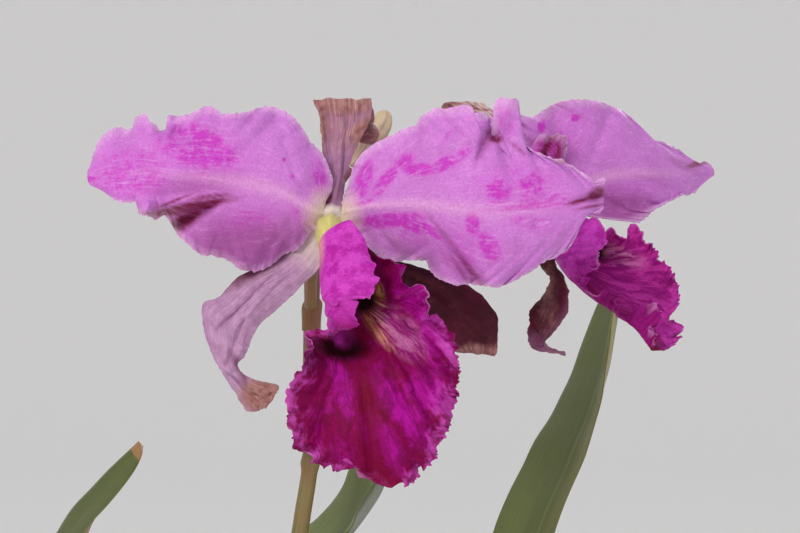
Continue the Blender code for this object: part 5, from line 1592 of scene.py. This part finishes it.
# painted shade: the near-black coat darkens the throat, the hollow under the flap and the creases
tissue = lay_coats(
    tree, velvet, (ridges, 0.55, "#5c0130"), (flecks, 1, "#bd4fae"), ("middle", 0.85, "#6c0226"),
    ("flap", 1, flap_low), ("blush", 1, blush), ("throat", 1, stripes), ("pale", 1, whitish),
    ("dark", 1, "#220008"), ("heart", 1, "#dba08c"), (rim_share, 1, "#c878b8"))
finish_material(tree, shader, tissue, cells, 0.8, 1.15, (0.6, 0.001, fan_veins), (0.35, 0.0002, cells))


def side_arcs(width, turn, v):
    """How far across and up each side has gone at v, as arcs of a width that turn through an angle."""
    turn = np.where(np.abs(turn) < 0.01, 0.01, turn)
    radius = width / turn
    return radius * np.sin(turn * v), radius * (1 - np.cos(turn * v))


def lip_surface(rows, u, v):
    """Places on the lip, and its side's width there. The keel runs along u, and the left side is at v < 0."""
    keel = [row[0] for row in rows]
    heading = heading_along(keel, u)
    across = unit(np.array((1.0, 0.0, 0.0)) - heading * heading[..., :1])
    sides = along([row[1:] for row in rows], u)
    width = np.where(v < 0, sides[..., 0], sides[..., 2])
    out, up = side_arcs(width, np.radians(np.where(v < 0, sides[..., 1], sides[..., 3])), np.abs(v))
    out = (out * np.sign(v))[..., None]
    return along(keel, u) + out * across + up[..., None] * np.cross(heading, across), width


def lead_margin(places, v, sign, stations, u):
    """Move one margin of a grid onto stations of a share and a place, less and less towards the middle."""
    table = np.array(stations, dtype=float)
    wanted = np.stack([np.interp(u[:, 0], table[:, 0], table[:, axis]) for axis in (1, 2, 3)], axis=1)
    shift = wanted - places[:, -1 if sign > 0 else 0]
    hold = 1.3 + 1.2 * np.clip(u / 0.14, 0, 1)
    places += (np.clip(sign * v, 0, 1) ** hold)[..., None] * shift[:, None]


def make_lip(flower, rows, left, right, throat_at, flap_to, folds, spots, open_from, seed):
    """A lip with crimped margins and a fluted blade. Spots hold the painted ovals of each coat by name."""
    u, v = blade_grid(LIP_ROWS, LIP_COLUMNS)
    places, side_width = lip_surface(rows, u, v)
    places = turn_flower(places, flower)
    for sign, margin in ((-1, left), (1, right)):
        if len(margin[0]) == 2:
            pull_margin(places, v, sign, margin, u)
        else:
            lead_margin(places, v, sign, margin, u)
    keel = along([row[0] for row in rows], u[:, 0])
    keel_steps = np.linalg.norm(np.diff(keel, axis=0), axis=1)
    mouth = np.concatenate([[0], np.cumsum(keel_steps)])[:, None] - throat_at
    from_keel = v * side_width
    from_margin = (1 - np.abs(v)) * side_width
    fan_angle = np.arctan2(from_keel, np.maximum(mouth, -8) + 14)
    open_share = np.clip((u - open_from) / 0.2, 0, 1)
    push = LIP_FLUTE_DEPTH * open_share * ripple((fan_angle + 1.6) / 3.2, LIP_FLUTES, seed)
    push *= np.clip(np.abs(from_keel) / 16, 0, 1)
    for sign in (-1, 1):
        inner = np.clip(sign * v, 0, 1)
        for depth, knots, step, hold in LIP_CRIMPS:
            push += open_share * depth * ripple(u, knots, seed + step + sign) * inner ** hold
    places = places + normals_of(places) * push[..., None]
    outward = unit(places[:, 2:] - places[:, :-2])
    for sign, side_way in ((-1, -outward[:, :1]), (1, outward[:, -1:])):
        teeth = open_share * ripples(u, LIP_TEETH, seed + sign) * np.clip(sign * v, 0, 1) ** LIP_TEETH_HOLD
        places += teeth[..., None] * side_way
    lying = crease(places, folds)
    flap = np.clip((flap_to - u) / 0.05, 0, 1) * np.clip(-v * 4, 0, 1)
    paint = {
        "fan": fan_angle,
        "reach": np.hypot(from_keel, mouth),
        "middle": np.exp(-(from_keel / LIP_MIDDLE) ** 2) * np.clip((mouth + 5) / 12, 0, 1),
        "flap": flap,
        # painted shade down the flap's lower end
        "tucked": np.clip((u - 0.24) / 0.2, 0, 1),
        "heart": patches(places, spots.get("heart", ())),
        "outer": np.clip(1.15 - from_margin / LIP_OUTER, 0, 1) * (1 - flap) * open_share,
        "rim": np.clip(1 - from_margin / LIP_RIM, 0, 1) * (0.6 + 0.5 * ripple(u, 24, seed + 9)),
    }
    for coat in ("purple", "blush", "throat", "pale", "dark"):
        paint[coat] = patches(places, spots.get(coat, ())) * (1 - flap)
    # painted shade: near black in the throat, under the flap and in the creases
    paint["dark"] = np.clip(paint["dark"] + 0.7 * lying, 0, 1)
    thickness = LIP_THICKNESS + (LIP_EDGE_THICKNESS - LIP_THICKNESS) * v ** 4
    thin_piece(f"lip_{flower}_tissue", places + flower_centre(flower), thickness, lip_tissue, "lip",
               f"lip_{flower}", paint=paint)


# Stations of each lip from the heart to the tip: a place on its keel, then how wide the left side is and how
# far it turns in degrees, and the same of the right side. The margins are a share and a place, or x, z as
# seen from the front.
LIP_1 = (
    ((-0.6, 0.8, -7.2), 6, 50, 7.6, 90),
    ((2, -4, -13), 22.5, 205, 10, 95),
    ((5, -12, -24), 32, 212, 22, 80),
    ((6.6, -19, -33), 31, 204, 27, 62),
    ((8.6, -24.5, -39.5), 29, 195, 28.5, 40),
    ((9.4, -28, -44.5), 25, 125, 29, 25),
    ((10, -31, -49), 24, 62, 28.5, 8),
    ((11, -33, -54), 23.5, 20, 27.5, -6),
    ((12, -36, -62), 25, -15, 25.5, -15),
    ((12.5, -37, -69), 22.5, -20, 21, -20),
    ((14, -36, -74.5), 14, -15, 18, -15),
    ((15.5, -34.5, -78.5), 5, -5, 14.5, -10),
    ((18.8, -33.5, -83), 2, 0, 8, 0),
)
LIP_1_LEFT = (
    (0, -3.6, -3.8, -10.5), (0.03, -1, -7.5, -7), (0.055, 2.6, -10, -4.2), (0.075, 5.7, -11.5, -1.6),
    (0.09, 7.8, -13, -4.3), (0.115, 10.2, -16.5, -7.8), (0.145, 11.7, -21, -12), (0.18, 13.5, -25.5, -16.2),
    (0.195, 12.6, -27, -17.6), (0.215, 14.4, -27.5, -19.7), (0.24, 13.2, -30, -22.7),
    (0.262, 11.7, -31.5, -25.7), (0.28, 9.6, -33.5, -26.1), (0.3, 6.6, -31.5, -24.6),
    (0.315, 6.9, -32.5, -27.5), (0.335, 7.8, -35, -30.4), (0.355, 9.3, -37.5, -32.5),
    (0.37, 7.8, -38.5, -33.4), (0.395, 3.1, -41, -35.7), (0.41, 0.7, -42.5, -36.3), (0.43, -3, -42, -35.2),
    (0.45, -7.6, -43.5, -36.3), (0.465, -5.9, -42, -38.2), (0.48, -4.7, -41, -39.6),
    (0.495, -7.2, -43, -41.2), (0.51, -8.2, -42.5, -44.7), (0.535, -9.7, -41, -48.8),
    (0.55, -12.4, -40.5, -51.2), (0.6, -13.6, -37, -58.4), (0.66, -12.7, -34.5, -64.6),
    (0.73, -10, -33, -71.8), (0.765, -5.3, -35, -73.2), (0.78, -5.6, -33, -75), (0.81, -1.7, -34.5, -75.9),
    (0.85, 2.2, -33, -77.6), (0.865, 2.5, -35, -76.2), (0.885, 5.2, -36, -74.1), (0.905, 7.8, -34, -75.6),
    (0.92, 9.6, -33, -76.2), (0.935, 7.8, -35, -77.3), (0.96, 9, -33.5, -79.7), (1, 13.2, -34, -80.9),
)
LIP_1_RIGHT = (
    (0, 4.2, -2.5, -4.6), (0.05, 7, -7, -7.4), (0.09, 10.6, -10, -9.6), (0.115, 12.6, -14, -12.6),
    (0.135, 16.2, -18.5, -14.3), (0.15, 18.2, -16, -13.8), (0.165, 19.7, -15.5, -14.7),
    (0.185, 22, -20, -15.8), (0.205, 20.6, -25, -18.2), (0.22, 21.5, -24.5, -20.9),
    (0.235, 23.9, -22, -22.1), (0.255, 26.8, -23.5, -21.5), (0.27, 28.6, -27, -23.3),
    (0.285, 28.3, -30.5, -25.7), (0.3, 30.4, -28, -27.4), (0.32, 30.1, -33, -31), (0.34, 33.4, -29, -32.2),
    (0.355, 34.6, -27, -34), (0.37, 36.3, -29, -35.7), (0.42, 38.2, -31.5, -40.4), (0.5, 39.5, -30, -47.8),
    (0.56, 38.5, -31.5, -52.8), (0.62, 37.9, -30, -57.5), (0.68, 36.6, -32.5, -63), (0.75, 34, -31.5, -69),
    (0.765, 32.8, -34, -69.3), (0.8, 31.9, -34, -73.2), (0.84, 30.4, -36, -76.2), (0.87, 28, -34, -76.8),
    (0.93, 26, -35, -80.9), (1, 22.7, -34, -82.7),
)
make_lip(
    1, LIP_1, LIP_1_LEFT, LIP_1_RIGHT,
    folds=((9, -48, 12, -80, 1.6, 1.6), (16, -46, 32, -74, 1.6, 1.4), (2, -46, -6, -70, 1.6, 1.4)),
    spots={
        "purple": ((4, -54, 9, 2.4, -75, 0.8), (18, -56, 16, 3, -50, 0.9), (30, -52, 9, 6, 80, 0.7),
                   (16, -70, 8, 4, -60, 1), (26, -26, 9, 4, -60, 1), (32, -38, 6, 5, -60, 0.8)),
        "throat": ((14.5, -26, 5, 1.8, -75, 1), (14, -34, 7, 2.2, -55, 0.8)),
        "pale": ((21, -36, 8, 4, -50, 0.65),),
        # the dark ovals are painted shade in the deep throat and under the flap's frilled edge
        "dark": ((10.2, -27.3, 4, 3, 20, 1), (3, -40.8, 6.5, 3.2, -8, 1.2), (-6, -44, 4, 4, 0, 0.4)),
        "heart": ((-4, -10, 1.6, 6, 0, 0.75),),
    },
    throat_at=34, flap_to=0.39, open_from=0.1, seed=81)

LIP_2 = (
    ((0, 0.8, -6.8), 7.4, 90, 7.4, 90),
    ((0, -4, -15), 20, 170, 18, 140),
    ((0, -11, -22), 24, 150, 27, 112),
    ((0, -20, -28.5), 13, 80, 29, 88),
    ((0, -28.5, -33), 7, 50, 28, 72),
    ((0, -36, -36.5), 5, 30, 24, 55),
    ((0.5, -41, -40), 4, 10, 19, 30),
    ((1, -45, -43.5), 4, 0, 14, 5),
    ((1, -47, -45.5), 4, 0, 10, 0),
    ((1, -48, -46.8), 3, 0, 6, 0),
)
LIP_2_LEFT = (
    (10.1, -3.5), (15.8, -5), (17.7, -8.5), (18.4, -12.4), (17.7, -13.3), (15.6, -13.6), (15.6, -17),
    (15.2, -19.6), (12.2, -21.6), (11.2, -22.5), (11.7, -25), (12.7, -27.6), (14.5, -29.2), (16.4, -28.5),
    (17.7, -27.4), (17.7, -29.2), (19.9, -31.4), (21.5, -31.1), (21.7, -33), (23.3, -36), (24.7, -35.1),
    (26.6, -36.1), (27.7, -33.9), (27.9, -32), (29.8, -33), (31.7, -31.7), (32.9, -31.1), (34.5, -32.6),
    (35, -35.8), (32.9, -36.8), (31.7, -38.4), (32, -40.9), (34.2, -42.2), (32.9, -45.2),
)
LIP_2_RIGHT = (
    (20.9, -9.2), (23.4, -12.4), (25.7, -10.4), (25, -7.3), (26.3, -6.2), (28.5, -6.6), (30.6, -9.2),
    (30.7, -11.1), (33.3, -13.3), (35.8, -17.1), (38, -18.4), (39, -20.9), (40.6, -24.1), (42, -27.6),
    (41.3, -31.4), (40.9, -33.9), (39.3, -34.6), (39.3, -39), (42, -40), (40.3, -44.1), (36.8, -46.5),
)
make_lip(
    2, LIP_2, LIP_2_LEFT, LIP_2_RIGHT,
    folds=((4, -14, 20, -30, 1.8, 1.2),),
    spots={
        "purple": ((30, -16, 14, 10, -50, 1), (36, -36, 12, 8, 80, 1)),
        "blush": ((28, -21, 15, 11, -40, 1.2), (34, -31, 10, 7, -60, 0.8)),
        "pale": ((24, -17, 6, 2.6, -15, 0.8),),
        "throat": ((19, -15, 5, 2.4, 0, 0.4),),
        # the dark ovals are painted shade in the throat
        "dark": ((15.5, -15, 3.5, 2.6, -60, 1), (38, -12, 4, 2, -60, 0.4)),
    },
    throat_at=24, flap_to=0.95, open_from=0.05, seed=91)
